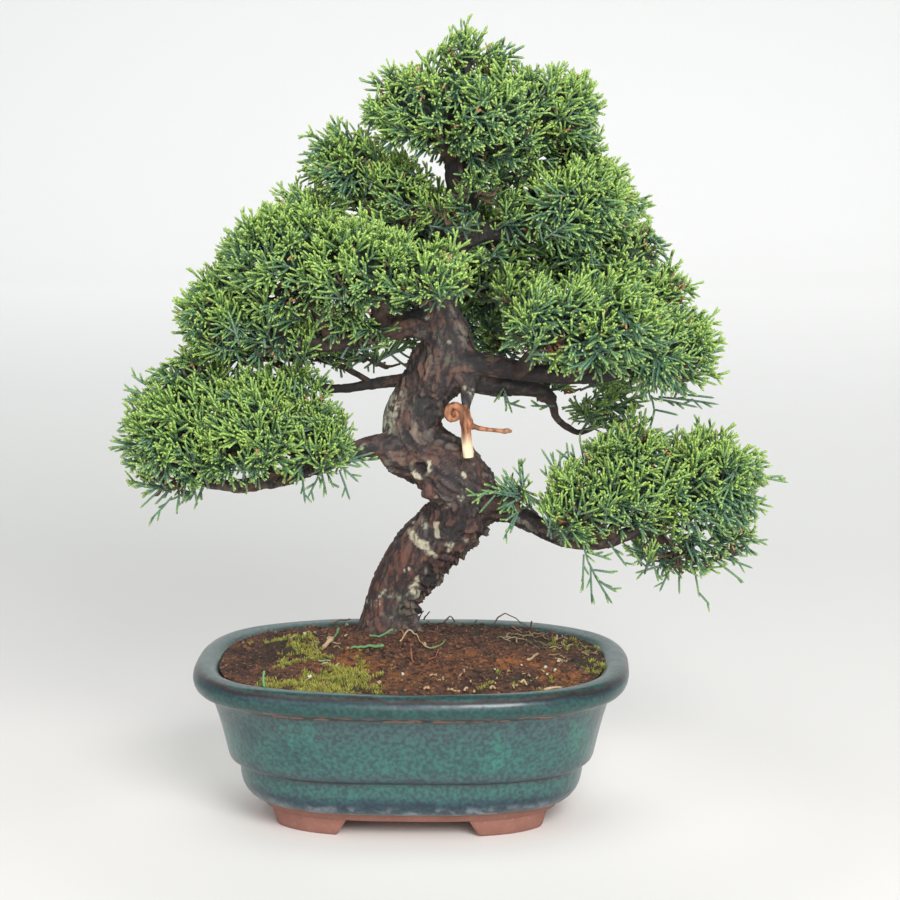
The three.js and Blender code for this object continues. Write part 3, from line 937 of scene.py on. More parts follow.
class Scatter(Tree):
    """Stands the pieces of a collection all over a surface, by a Geometry Nodes tree.

    The surface says how thick they stand in its "cover" and which way they point in its "ahead".
    """

    def __init__(self) -> None:
        """Builds the tree with its named inputs."""
        self.tree = bpy.data.node_groups.new("scatter_over_surface", "GeometryNodeTree")
        face = self.tree.interface
        kinds = {
            "Surface": "Geometry", "Pieces": "Collection", "Finish": "Material", "Kinds": "Int",
            "Seed": "Int", "Spacing": "Float", "Thickest": "Float", "Sink": "Float", "Stray": "Float",
            "Least Size": "Float", "Most Size": "Float",
        }
        self.sockets = {
            name: face.new_socket(name, in_out="INPUT", socket_type=f"NodeSocket{kind}").identifier
            for name, kind in kinds.items()
        }
        face.new_socket("Result", in_out="OUTPUT", socket_type="NodeSocketGeometry")
        self.given = self.node("NodeGroupInput").outputs
        self.build()

    def chance(self, kind: str, low: object, high: object, step: int) -> Socket:
        """A random value for each piece.

        Args:
            kind: FLOAT_VECTOR, FLOAT or INT.
            low: The least that it can be.
            high: The most that it can be.
            step: How far the given seed is moved on for it.

        Returns:
            The value.
        """
        place = ("FLOAT_VECTOR", "FLOAT", "INT").index(kind)
        seed = self.maths("ADD", self.given["Seed"], step)
        inputs = {2 * place: low, 2 * place + 1: high, "Seed": seed}
        return self.node("FunctionNodeRandomValue", inputs, data_type=kind).outputs[place]

    def named(self, name: str, kind: str) -> Socket:
        """One of the surface's named values."""
        return self.node("GeometryNodeInputNamedAttribute", {"Name": name}, data_type=kind).outputs[0]

    def stored(self, pieces: Socket, name: str, value: Socket) -> Socket:
        """Leaves a named number on each piece.

        Args:
            pieces: The pieces.
            name: The number's name.
            value: The number.

        Returns:
            The same pieces.
        """
        inputs = {"Geometry": pieces, "Name": name, "Value": value}
        settings = {"data_type": "FLOAT", "domain": "INSTANCE"}
        return self.node("GeometryNodeStoreNamedAttribute", inputs, **settings).outputs[0]

    def build(self) -> None:
        """Links the tree: points on the surface, a way to point, a piece on each, and its finish."""
        given = self.given
        points = self.node("GeometryNodeDistributePointsOnFaces", {
            "Mesh": given["Surface"], "Distance Min": given["Spacing"], "Density Max": given["Thickest"],
            "Density Factor": self.named("cover", "FLOAT"), "Seed": given["Seed"],
        }, distribute_method="POISSON").outputs["Points"]
        stray = self.chance("FLOAT_VECTOR", (-1, -1, -1), (1, 1, 1), 1)
        bent = self.direction("SCALE", stray, given["Stray"])
        ahead = self.direction("ADD", self.named("ahead", "FLOAT_VECTOR"), bent)
        ahead = self.direction("NORMALIZE", ahead)
        back = self.direction("SCALE", ahead, self.maths("MULTIPLY", given["Sink"], -1.0))
        sunk = self.node("GeometryNodeSetPosition", {"Geometry": points, "Offset": back}).outputs[0]
        aligned = self.node("FunctionNodeAlignRotationToVector", {"Vector": ahead}, axis="Z").outputs[0]
        spin = self.node("FunctionNodeAxisAngleToRotation", {
            "Axis": (0, 0, 1), "Angle": self.chance("FLOAT", 0.0, 2 * math.pi, 2)}).outputs[0]
        turned = self.node("FunctionNodeRotateRotation", {0: aligned, 1: spin}, rotation_space="LOCAL")
        kinds = self.node("GeometryNodeCollectionInfo", {
            "Collection": given["Pieces"], "Separate Children": True, "Reset Children": True})
        which = self.chance("INT", 0, self.maths("SUBTRACT", given["Kinds"], 1.0), 3)
        stood = self.node("GeometryNodeInstanceOnPoints", {
            "Points": sunk, "Instance": kinds.outputs[0], "Pick Instance": True,
            "Instance Index": which, "Rotation": turned.outputs[0],
            "Scale": self.chance("FLOAT", given["Least Size"], given["Most Size"], 4),
        }).outputs[0]
        tinted = self.stored(stood, "tint", self.chance("FLOAT", 0.0, 1.0, 5))
        # How far each spray points up; the foliage finish paints upward sprays lighter and downward ones
        # bluer, as painted light and shade.
        height = self.node("ShaderNodeSeparateXYZ", {0: ahead}).outputs[2]
        lifted = self.stored(tinted, "lift", height)
        real = self.node("GeometryNodeRealizeInstances", {0: lifted}).outputs[0]
        dressed = self.node("GeometryNodeSetMaterial", {"Geometry": real, "Material": given["Finish"]})
        self.node("NodeGroupOutput", {0: dressed.outputs[0]})

    def over(
        self, name: str, surface: Skin, pieces: Kinds, finish: Material, **sizes: float
    ) -> Piece:
        """Covers a surface with pieces and makes one plain mesh of them.

        Args:
            name: The new object's name.
            surface: Where the pieces stand.
            pieces: The kinds to choose from.
            finish: Their material.
            sizes: The tree's other inputs by name, with _ for a space and lengths in millimetres.

        Returns:
            The object.
        """
        made = shown(name, surface.mesh(name), [])
        modifier = made.modifiers.new("scatter", "NODES")
        modifier.node_group = self.tree
        modifier[self.sockets["Pieces"]] = pieces
        modifier[self.sockets["Finish"]] = finish
        modifier[self.sockets["Kinds"]] = len(pieces.objects)
        lengths = ("Spacing", "Sink")
        for key, value in sizes.items():
            label = key.replace("_", " ").title()
            modifier[self.sockets[label]] = value * MM if label in lengths else value
        return finished(made)


def kinds_of(name: str, skins: list[Skin], smooth: bool = True) -> Kinds:
    """The kinds that a scatter chooses from.

    Args:
        name: The collection's name.
        skins: The skin of each kind.
        smooth: Whether they are shaded smooth.

    Returns:
        Their collection, outside the scene.
    """
    made = bpy.data.collections.new(name)
    for i, skin in enumerate(skins):
        label = f"{name}_{i:02d}"
        made.objects.link(bpy.data.objects.new(label, skin.mesh(label, smooth)))
    return made


def drop_kinds(kinds: Kinds) -> None:
    """Removes a scatter's kinds once they are used.

    Args:
        kinds: Their collection.
    """
    for piece in list(kinds.objects):
        bpy.data.objects.remove(piece)
    bpy.data.collections.remove(kinds)


@dataclass
class Table:
    """The potting table's middle in the part's frame; the pot and tree are measured from it."""

    pot_centre: Pair = (-14.0, -11.5)

    def origin(self) -> Array:
        """Works out where the table stands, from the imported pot.

        Returns:
            The table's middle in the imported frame.
        """
        low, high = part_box("pot")
        middle = (low + high) / 2 / MM
        return np.array([middle.x - self.pot_centre[0], middle.y - self.pot_centre[1], 0.0])


TABLE = Table()
ORIGIN = TABLE.origin()
POT_CENTRE = np.array([*TABLE.pot_centre, 0.0])


@dataclass(frozen=True)
class PaperFinish:
    """Pale matt paper with painted shade and painted light on it; places are in metres."""

    first: float = -0.1
    depth: float = 1.8
    # Floor greys by depth: painted shade greyer at mid depth behind the pot, lighter far back.
    greys_with_painted_shade: tuple[Colour, ...] = (
        (0.0, 219, 217, 213), (0.14, 211, 209, 206), (0.31, 204, 204, 200), (0.61, 217, 217, 215),
        (0.94, 236, 236, 234))
    # Painted light: the floor is lighter towards the right, further back.
    painted_light_right: Colour = paint(250, 249, 246)
    painted_light_right_share: float = 0.18
    painted_light_right_across: Pair = (-0.35, 0.35)
    painted_light_right_behind: Pair = (-0.05, 0.15)
    wall: Colour = paint(236, 236, 234)
    wall_rise: Pair = (0.02, 0.35)
    # Painted light beside the pot, where its shadow falls on the floor.
    painted_light_by_pot: Colour = paint(243, 240, 235)
    painted_light_by_pot_reach: Pair = (0.165, 0.045)

    def material(self) -> Material:
        """The sweep's material, by its place.

        Returns:
            The material.
        """
        made = Recipe("pale_paper")
        x, y, z = made.node("ShaderNodeSeparateXYZ", {0: made.place()}).outputs
        level = made.maths("DIVIDE", made.maths("SUBTRACT", y, self.first), self.depth)
        # Painted shade: greyer at mid depth behind the pot, lighter far back.
        made.colour = made.ramp(level, [(place, paint(*grey)) for place, *grey in self.greys_with_painted_shade])
        # Painted light: lighter towards the right, further back.
        across, behind = made.rise(x, *self.painted_light_right_across), made.rise(y, *self.painted_light_right_behind)
        made.lay(self.painted_light_right, across, behind, self.painted_light_right_share)
        made.lay(self.wall, made.rise(z, *self.wall_rise))
        # Painted light beside the pot, over the floor where its shadow falls.
        flat = made.node("ShaderNodeCombineXYZ", {"X": x, "Y": y, "Z": 0.0}).outputs[0]
        away = made.node("ShaderNodeVectorMath", {0: flat}, operation="LENGTH").outputs["Value"]
        made.lay(self.painted_light_by_pot, made.rise(away, *self.painted_light_by_pot_reach))
        return made.plain(0.9, 0.1)


@dataclass
class Studio:
    """The camera, the pale sweep behind the tree and the soft lights."""

    eye: Sizes = (38.8, -1110.3, 335.0)
    pitch: float = 10.09
    turn: float = 2.0
    lens: float = 119.6
    sweep_from: float = 1700.0
    sweep_radius: float = 400.0
    front: float = -9000.0
    width: float = 9000.0
    height: float = 2600.0
    clip: Pair = (0.05, 20)
    room_colour: Colour = (0.93, 0.96, 1.0, 1.0)
    room_strength: float = 0.52

    def place_camera(self) -> None:
        """Stands the camera where the photograph was taken from."""
        made = bpy.data.objects.new("camera", bpy.data.cameras.new("camera"))
        made.data.lens = self.lens
        made.data.clip_start, made.data.clip_end = self.clip
        made.location = Vector((np.array(self.eye) + ORIGIN) * MM)
        made.rotation_euler = (math.radians(90 - self.pitch), 0, math.radians(self.turn))
        bpy.context.scene.collection.objects.link(made)
        bpy.context.scene.camera = made

    def lay_backdrop(self) -> None:
        """One sheet: floor, a curve, then a wall."""
        turns = np.linspace(0, math.pi / 2, 17)
        away = self.sweep_from + self.sweep_radius * np.sin(turns)
        up = self.sweep_radius * (1 - np.cos(turns))
        line = [(self.front, 0.0), *zip(away, up), (away[-1], self.height)]
        points = np.array([(x, y, z) for y, z in line for x in (-self.width, self.width)])
        faces = [(2 * i, 2 * i + 1, 2 * i + 3, 2 * i + 2) for i in range(len(line) - 1)]
        floor = shown("floor_sweep", Skin(points, faces).mesh("floor_sweep"), [PaperFinish().material()])

    def add_light(
        self, name: str, place: Sizes, size: float, power: float, aim: Sizes = (0, 0, 150)
    ) -> None:
        """Hangs one soft light.

        Args:
            name: Its name.
            place: Where it hangs.
            size: The side of its square face.
            power: Its power in watts.
            aim: The point that it faces.
        """
        lamp = bpy.data.lights.new(name, "AREA")
        lamp.size = size * MM
        lamp.energy = power
        made = bpy.data.objects.new(name, lamp)
        made.location = Vector(place) * MM
        way = Vector(aim) * MM - made.location
        made.rotation_euler = way.to_track_quat("-Z", "Y").to_euler()
        bpy.context.scene.collection.objects.link(made)

    def light(self) -> None:
        """Soft light from above and both sides, with a pale room round it."""
        world = bpy.data.worlds.new("room")
        world.use_nodes = True
        room = world.node_tree.nodes["Background"].inputs
        room["Color"].default_value = self.room_colour
        room["Strength"].default_value = self.room_strength
        bpy.context.scene.world = world
        self.add_light("key", (430, -1250, 820), 620, 19)
        self.add_light("top", (-60, -160, 1250), 1200, 4)
        self.add_light("back", (0, 1500, 1500), 1800, 15, (0, 1300, 0))
        self.add_light("left", (-900, -900, 700), 900, 2.5)
        self.add_light("front", (60, -1700, 330), 900, 6, (0, 0, 60))

    def build(self) -> None:
        """Camera first, then the sweep and the lights."""
        self.place_camera()
        self.lay_backdrop()
        self.light()
        bpy.context.scene.view_settings.view_transform = "Standard"


@dataclass
class Plan:
    """The pot's plan: a superellipse whose half depth is its half length less a constant."""

    exponent: float = 2.8
    depth_less: float = 18.0
    samples: int = 192

    def ring(self, half_length: float, z: float) -> Array:
        """Evenly spaced points of the plan.

        Args:
            half_length: Half of its length.
            z: Its height.

        Returns:
            One row a point, anticlockwise from above.
        """
        fine = np.linspace(0, 2 * math.pi, 2401)
        power = 2 / self.exponent
        cos, sin = np.cos(fine), np.sin(fine)
        x = half_length * np.sign(cos) * np.abs(cos) ** power
        y = (half_length - self.depth_less) * np.sign(sin) * np.abs(sin) ** power
        run = np.concatenate([[0], np.cumsum(np.hypot(np.diff(x), np.diff(y)))])
        marks = np.linspace(0, run[-1], self.samples, endpoint=False)
        places = [np.interp(marks, run, x), np.interp(marks, run, y), np.full(self.samples, z)]
        return np.stack(places, axis=1)

    def y_at(self, half_length: float, x: float) -> float:
        """Half of the plan's depth at a place along its length."""
        part = min(1.0, abs(x) / half_length)
        return (half_length - self.depth_less) * (1 - part**self.exponent) ** (1 / self.exponent)


@dataclass
class Pot:
    """The oval pot with its rolled rim, its groove, four feet and two drain holes."""

    plan: Plan = field(default_factory=Plan)
    crest: float = 60.5
    outside: Rows = listed([
        [6.5, 54.6], [6.6, 55.6], [7.0, 56.1], [9.6, 57.0], [9.9, 57.6], [10.1, 59.6], [10.5, 60.5],
        [11.6, 61.8], [13.4, 63.2], [15.4, 64.1], [18.0, 64.7], [21.0, 64.95], [22.8, 65.0], [23.5, 65.3],
        [24.0, 66.2], [24.5, 67.6], [25.2, 68.6], [26.3, 69.1], [28.5, 69.6], [32, 70.4], [36.5, 71.5],
        [41, 72.7], [45, 73.9], [48, 74.9], [49.8, 75.7], [50.5, 76.4], [50.9, 77.6], [51.3, 79.0],
        [52.0, 80.2], [53.0, 81.1], [54.3, 81.7], [55.8, 82.0], [57.3, 81.8], [58.6, 81.0], [59.6, 79.8],
        [60.2, 78.6],
    ])
    inside: Rows = listed([
        [60.5, 77.2], [60.3, 75.6], [59.7, 74.2], [58.8, 73.1], [57.5, 72.0], [55.5, 71.1], [48, 69.2],
        [38, 66.7], [28, 64.2], [21, 61.2], [16, 58.4], [13, 55.6], [12, 53.0], [12, 30.0],
    ])
    drain_radius: float = 6.0
    drain_spacing: float = 56.0
    drill_heights: Sizes = (-6.0, 10.0, 26.0)
    foot_from: float = 22.4
    foot_to: float = 51.6
    foot_outer: float = 55.3
    foot_inner: float = 43.6
    foot_inner_end: float = 42.5
    foot_slant: float = 3.6
    foot_steps: int = 18
    foot_levels: Rows = listed([
        [0.0, 1.0, 1.1], [0.5, 1.0, 0.4], [1.4, 0.9, 0.0], [4.0, 0.5, 0.0], [6.4, 0.1, 0.0], [9.0, 0.0, 0.0]])
    bare_run: float = 3.0
    uneven: Sizes = (0.28, 0.28, 0.16)
    uneven_size: float = 31.0

    def wall(self) -> Skin:
        """The body of the pot, base to rim to floor.

        Returns:
            Its one skin.
        """
        rows = self.outside + self.inside
        rings = np.array([self.plan.ring(half, z) for z, half in rows])
        skin = lofted(rings)
        over = np.cumsum([0] + [math.dist(a, b) for a, b in zip(self.inside, self.inside[1:])])
        run = [z for z, _ in self.outside] + [self.crest + step for step in over]
        skin.values["run"] = np.concatenate([np.repeat(run, self.plan.samples), [0.0, run[-1]]])
        uneven = Grain.smooth(skin.points / self.uneven_size, 3, 2)[:, None] * np.array(self.uneven)
        skin.points = skin.points + uneven * rise(skin.points[:, 2], 6.4, 12)[:, None]
        return skin

    def foot(self, sign_x: int, sign_y: int) -> Skin:
        """One foot: a curved block under the edge of the pot, narrower at its sole.

        Args:
            sign_x: Which end of the pot it is at, -1 or 1.
            sign_y: Which side of the pot it is on, -1 or 1.

        Returns:
            Its skin.
        """
        rings = []
        for z, low, round_in in self.foot_levels:
            inset = low * self.foot_slant * 0.55 + round_in
            start = self.foot_from + low * self.foot_slant + round_in
            ends = np.linspace(start, self.foot_to - inset, self.foot_steps)
            near, far = self.foot_inner + inset * 0.4, self.foot_outer - inset * 0.6
            outer = [(x, self.plan.y_at(far, x), z) for x in ends]
            inner = [(x, self.plan.y_at(near, min(x, self.foot_inner_end)), z) for x in ends]
            rings.append(outer[::-1] + inner)
        rings = np.array(rings) * np.array([sign_x, sign_y, 1])
        if sign_x * sign_y < 0:
            rings = rings[:, ::-1]
        skin = lofted(rings[:, ::-1])
        skin.values["run"] = np.full(len(skin.points), self.bare_run)
        return skin

    def build(self) -> Piece:
        """Makes the pot, drills its drain holes and seats it.

        Returns:
            The pot.
        """
        feet = [self.foot(x, y) for x, y in product((-1, 1), repeat=2)]
        body = joined([self.wall(), *feet]).moved(POT_CENTRE + ORIGIN)
        pot = shown("glazed_pot", body.mesh("glazed_pot"), [GlazeFinish().material()])
        shape = bmesh.new()
        shape.from_mesh(pot.data)
        bmesh.ops.recalc_face_normals(shape, faces=shape.faces)
        shape.to_mesh(pot.data)
        shape.free()
        drills = [self.drill(side) for side in (-1, 1)]
        for drill in drills:
            cut = pot.modifiers.new("drain", "BOOLEAN")
            cut.operation = "DIFFERENCE"
            cut.solver = "EXACT"
            cut.use_self = True
            cut.object = drill
        finished(pot)
        for drill in drills:
            bpy.data.objects.remove(drill)
        return placed(pot, Slot.POT, "pot")

    def drill(self, side: int) -> Piece:
        """A round bar where one drain hole goes.

        Args:
            side: Which end of the pot it is at, -1 or 1.

        Returns:
            The bar, to be cut from the pot.
        """
        path = np.array([[side * self.drain_spacing / 2, 0, z] for z in self.drill_heights])
        bar = tube(path, np.full(3, self.drain_radius), 40).moved(POT_CENTRE + ORIGIN)
        bar.values = {"run": np.zeros(len(bar.points))}
        return shown(f"drill_{side}", bar.mesh("drill"), [])


@dataclass
class SoilBed:
    """The soil, its crumbs, its moss and what lies on it."""

    plan: Plan = field(default_factory=lambda: Plan(samples=260))
    edge_top: float = 58.8
    edge_length: float = 72.2
    heap: float = 8.0
    heap_power: float = 1.3
    floor: float = 13.5
    foot: Pair = (-24.0, 12.0)
    rings: int = 92
    skirt: Rows = listed([
        [13.5, 55.4], [16, 58.2], [28, 63.9], [48, 68.9], [55.5, 70.8], [57.6, 71.7]])
    moss_patches: Rows = listed([
        [-42, -52, 13, 15, 1], [-33, -46, 8, 15, 1], [-50, -60, 12, 9, 1], [-62, -55, 10, 8, 0.7],
        [-55, -14, 5, 9, 0.6], [-50, -26, 7, 5, 0.7], [-61, -28, 4, 6, 0.8], [-66, 8, 6, 5, 0.8],
        [-56, 1, 3, 5, 0.7], [46, 8, 10, 8, 0.25], [57, -25, 6, 14, 0.22], [30, -50, 12, 6, 0.15]])
    dark_patches: Rows = listed([
        [-70, -14, 15, 24, 1], [-62, 12, 14, 12, 0.9], [2, 24, 30, 15, 1], [40, 12, 24, 14, 1],
        [58, -20, 10, 26, 1], [-25, -60, 4, 5, 1], [-13, -70, 6, 4, 1], [20, -46, 12, 9, 0.7],
        [-40, 25, 14, 8, 0.9], [36, -66, 7, 5, 0.8], [-4, -52, 8, 5, 0.5], [34, -40, 6, 4, 0.7]])
    green_patches: Rows = listed([
        [44, 12, 22, 14, 1], [57, -16, 12, 24, 1], [22, 30, 18, 8, 0.9], [28, -46, 16, 9, 0.5],
        [-40, -54, 24, 17, 1], [-56, -12, 12, 16, 0.8], [-64, 8, 10, 9, 0.8]])
    orange_patches: Rows = listed([
        [28, -24, 13, 10, 1], [44, -38, 11, 13, 1], [-38, -25, 10, 8, 0.9], [-10, -46, 15, 14, 0.5],
        [-34, -32, 14, 5, 0.8], [6, -20, 12, 8, 0.4]])

    def top(self, points: Array, part: Array) -> Array:
        """The height of the soil.

        Args:
            points: Places on it, from the table's middle.
            part: How far each lies from the trunk's foot, from 0 to 1 at the pot's wall.

        Returns:
            Its height at each.
        """
        flat = points * FLAT
        firm = rise(1 - part, 0.0, 0.05)
        clods = 1.1 * Grain.smooth(flat / 12, 21, 2) + 0.85 * Grain.smooth(flat / 3.8, 22, 2)
        crumbs = 0.55 * np.abs(Grain.smooth(flat / 1.6, 23, 2))
        heaped = self.heap * (1 - part) ** self.heap_power
        return self.edge_top + heaped + firm * (clods + crumbs) * 0.9

    @staticmethod
    def patched(points: Array, patches: Rows, seed: int, scale: float, ragged: float) -> Array:
        """How far each place lies inside some ragged patches.

        Args:
            points: Places on the soil.
            patches: Each one's middle, half width, half depth and strength.
            seed: Sets their ragged edges.
            scale: How broad their unevenness is.
            ragged: How strong it is.

        Returns:
            One value a place, from 0 to 1.
        """
        best = np.zeros(len(points))
        edge = ragged * Grain.smooth(points * FLAT / scale, seed, 3)
        for x, y, across, deep, strength in patches:
            away = np.hypot((points[:, 0] - x) / across, (points[:, 1] - y) / deep)
            best = np.maximum(best, strength * rise(1.15 - away + edge, 0.0, 0.55))
        return best

    def moss_at(self, points: Array) -> Array:
        """How mossy each place is, from 0 to 1."""
        return self.patched(points, self.moss_patches, 31, 4.0, 0.9)

    def surface(self) -> tuple[Skin, Skin]:
        """Lays the soil.

        Returns:
            The soil as one closed skin, and the skin of its top alone.
        """
        foot = np.array([*self.foot, 0.0])
        edge = self.plan.ring(self.edge_length, 0.0) + POT_CENTRE
        parts = np.linspace(1, 0.04, self.rings) ** 0.8
        tops = []
        for part in parts:
            ring = (edge - foot) * part + foot
            ring[:, 2] = self.top(ring, np.full(len(ring), part))
            tops.append(ring)
        sides = [self.plan.ring(half, z) + POT_CENTRE for z, half in self.skirt]
        whole = lofted(np.array(sides + tops))
        self.dress(whole)
        cap = lofted(np.array(tops), closed_ends=False)
        return whole, cap

    def dress(self, skin: Skin) -> None:
        """Leaves the values on the soil that its finish reads.

        Args:
            skin: The soil's skin.
        """
        points = skin.points
        skin.values["damp"] = self.patched(points, self.dark_patches, 41, 6.0, 0.6)
        skin.values["mossy"] = self.patched(points, self.green_patches, 42, 5.0, 0.7)
        skin.values["dry"] = self.patched(points, self.orange_patches, 43, 6.0, 0.6)

    def pebble(self, seed: int) -> Skin:
        """One uneven crumb about a millimetre across.

        Args:
            seed: Sets its shape.

        Returns:
            The crumb.
        """
        points, faces = ball(1)
        rng = np.random.default_rng(seed)
        shape = points * rng.uniform(0.35, 0.75, 3) * (1 + 0.25 * rng.standard_normal((len(points), 1)))
        return Skin(shape, faces)

    def tuft(self, seed: int) -> Skin:
        """One tuft of moss: short three-sided blades.

        Args:
            seed: Sets how they lean.

        Returns:
            The tuft, with each blade's "along" from its foot to its tip.
        """
        rng = np.random.default_rng(seed)
        blades = []
        for _ in range(8):
            lean = rng.uniform(-0.75, 0.75, 2)
            start = np.array([*rng.uniform(-0.6, 0.6, 2), -0.4])
            tip = start + np.array([*lean, rng.uniform(1.1, 2.1)])
            turn = rng.uniform(0, 2 * math.pi) + np.arange(3) * 2 * math.pi / 3
            ring = start + 0.26 * np.stack([np.cos(turn), np.sin(turn), np.zeros(3)], axis=1)
            points = np.vstack([ring, tip])
            faces = [(0, 1, 3), (1, 2, 3), (2, 0, 3), (2, 1, 0)]
            blades.append(Skin(points, faces, {"along": np.array([0.0, 0, 0, 1])}))
        return joined(blades)

    def cover_with(self, name: str, cap: Skin, cover: Array, kinds: list[Skin], scatter: Scatter,
                   finish: Material, slot: Slot, **sizes: float) -> Piece:
        """Scatters small pieces on the soil's top.

        Args:
            name: The new piece's name.
            cap: The skin of the soil's top.
            cover: How thick they stand at each of its points, from 0 to 1.
            kinds: The pieces to choose from.
            scatter: The tree that places them.
            finish: Their material.
            slot: Their material slot.
            sizes: The tree's other inputs.

        Returns:
            The new piece.
        """
        ahead = np.tile(UP, (len(cap.points), 1))
        surface = Skin(cap.points, cap.faces, {"cover": cover, "ahead": ahead}).moved(ORIGIN)
        pieces = kinds_of(f"{name}_kinds", kinds, smooth=False)
        made = scatter.over(name, surface, pieces, finish, **sizes)
        drop_kinds(pieces)
        return placed(made, slot)

    def build(self, scatter: Scatter) -> None:
        """Makes the soil, then its crumbs and moss.

        Args:
            scatter: The tree that places them.
        """
        whole, cap = self.surface()
        new_piece("soil_bed", whole, SoilFinish().material(), Slot.SOIL, "soil")
        from_trunk = np.linalg.norm(cap.points[:, :2] - np.array(self.foot), axis=1)
        inside = 1 - rise(from_trunk, 15, 12)
        self.dress(cap)
        fine = np.maximum(cap.values["damp"], 0.6 * cap.values["dry"])
        fine = np.maximum(fine, cap.values["mossy"])
        self.cover_with(
            "soil_crumbs", cap, inside * (0.9 - 0.75 * fine), [self.pebble(i) for i in range(7)], scatter,
            GritFinish().material(), Slot.SOIL, seed=3, spacing=1.7, thickest=300000.0, sink=0.0,
            stray=0.9, least_size=0.35, most_size=1.5)
        self.cover_with(
            "soil_moss", cap, self.moss_at(cap.points) * inside, [self.tuft(i) for i in range(6)], scatter,
            MossFinish().material(), Slot.MOSS, seed=5, spacing=0.95, thickest=1500000.0, sink=0.1,
            stray=0.4, least_size=0.5, most_size=1.4)


@dataclass
class Bit:
    """One bit of litter: the points that it lies along, its radius and its kind.

    The kind goes from 0 to 1, as the litter's finish reads it: stale, root, red, fresh and white.
    """

    path: Rows
    radius: float
    kind: float


@dataclass
class Strewn:
    """Many like bits of litter, strewn over a patch of the soil."""

    middle: Pair
    half: Pair
    count: int
    shortest: float
    longest: float
    radius: float
    kinds: Pair
    seed: int

    def bits(self) -> list[Bit]:
        """Lays out the litter.

        Returns:
            The bits, each bent a little and lying its own way.
        """
        rng = np.random.default_rng(self.seed)
        made = []
        for _ in range(self.count):
            place = np.array(self.middle) + np.array(self.half) * rng.uniform(-1, 1, 2)
            turn = rng.uniform(0, math.pi)
            way = np.array([math.cos(turn), math.sin(turn)])
            along = way * rng.uniform(self.shortest, self.longest) / 2
            aside = np.array([-along[1], along[0]]) * rng.uniform(-0.7, 0.7)
            height = 0.5 + self.radius
            path = [[*(place - along), height], [*(place + aside), height + rng.uniform(0, 0.7)],
                    [*(place + along), height - 0.1]]
            made.append(Bit(path, self.radius * rng.uniform(0.7, 1.2), rng.uniform(*self.kinds)))
        return made


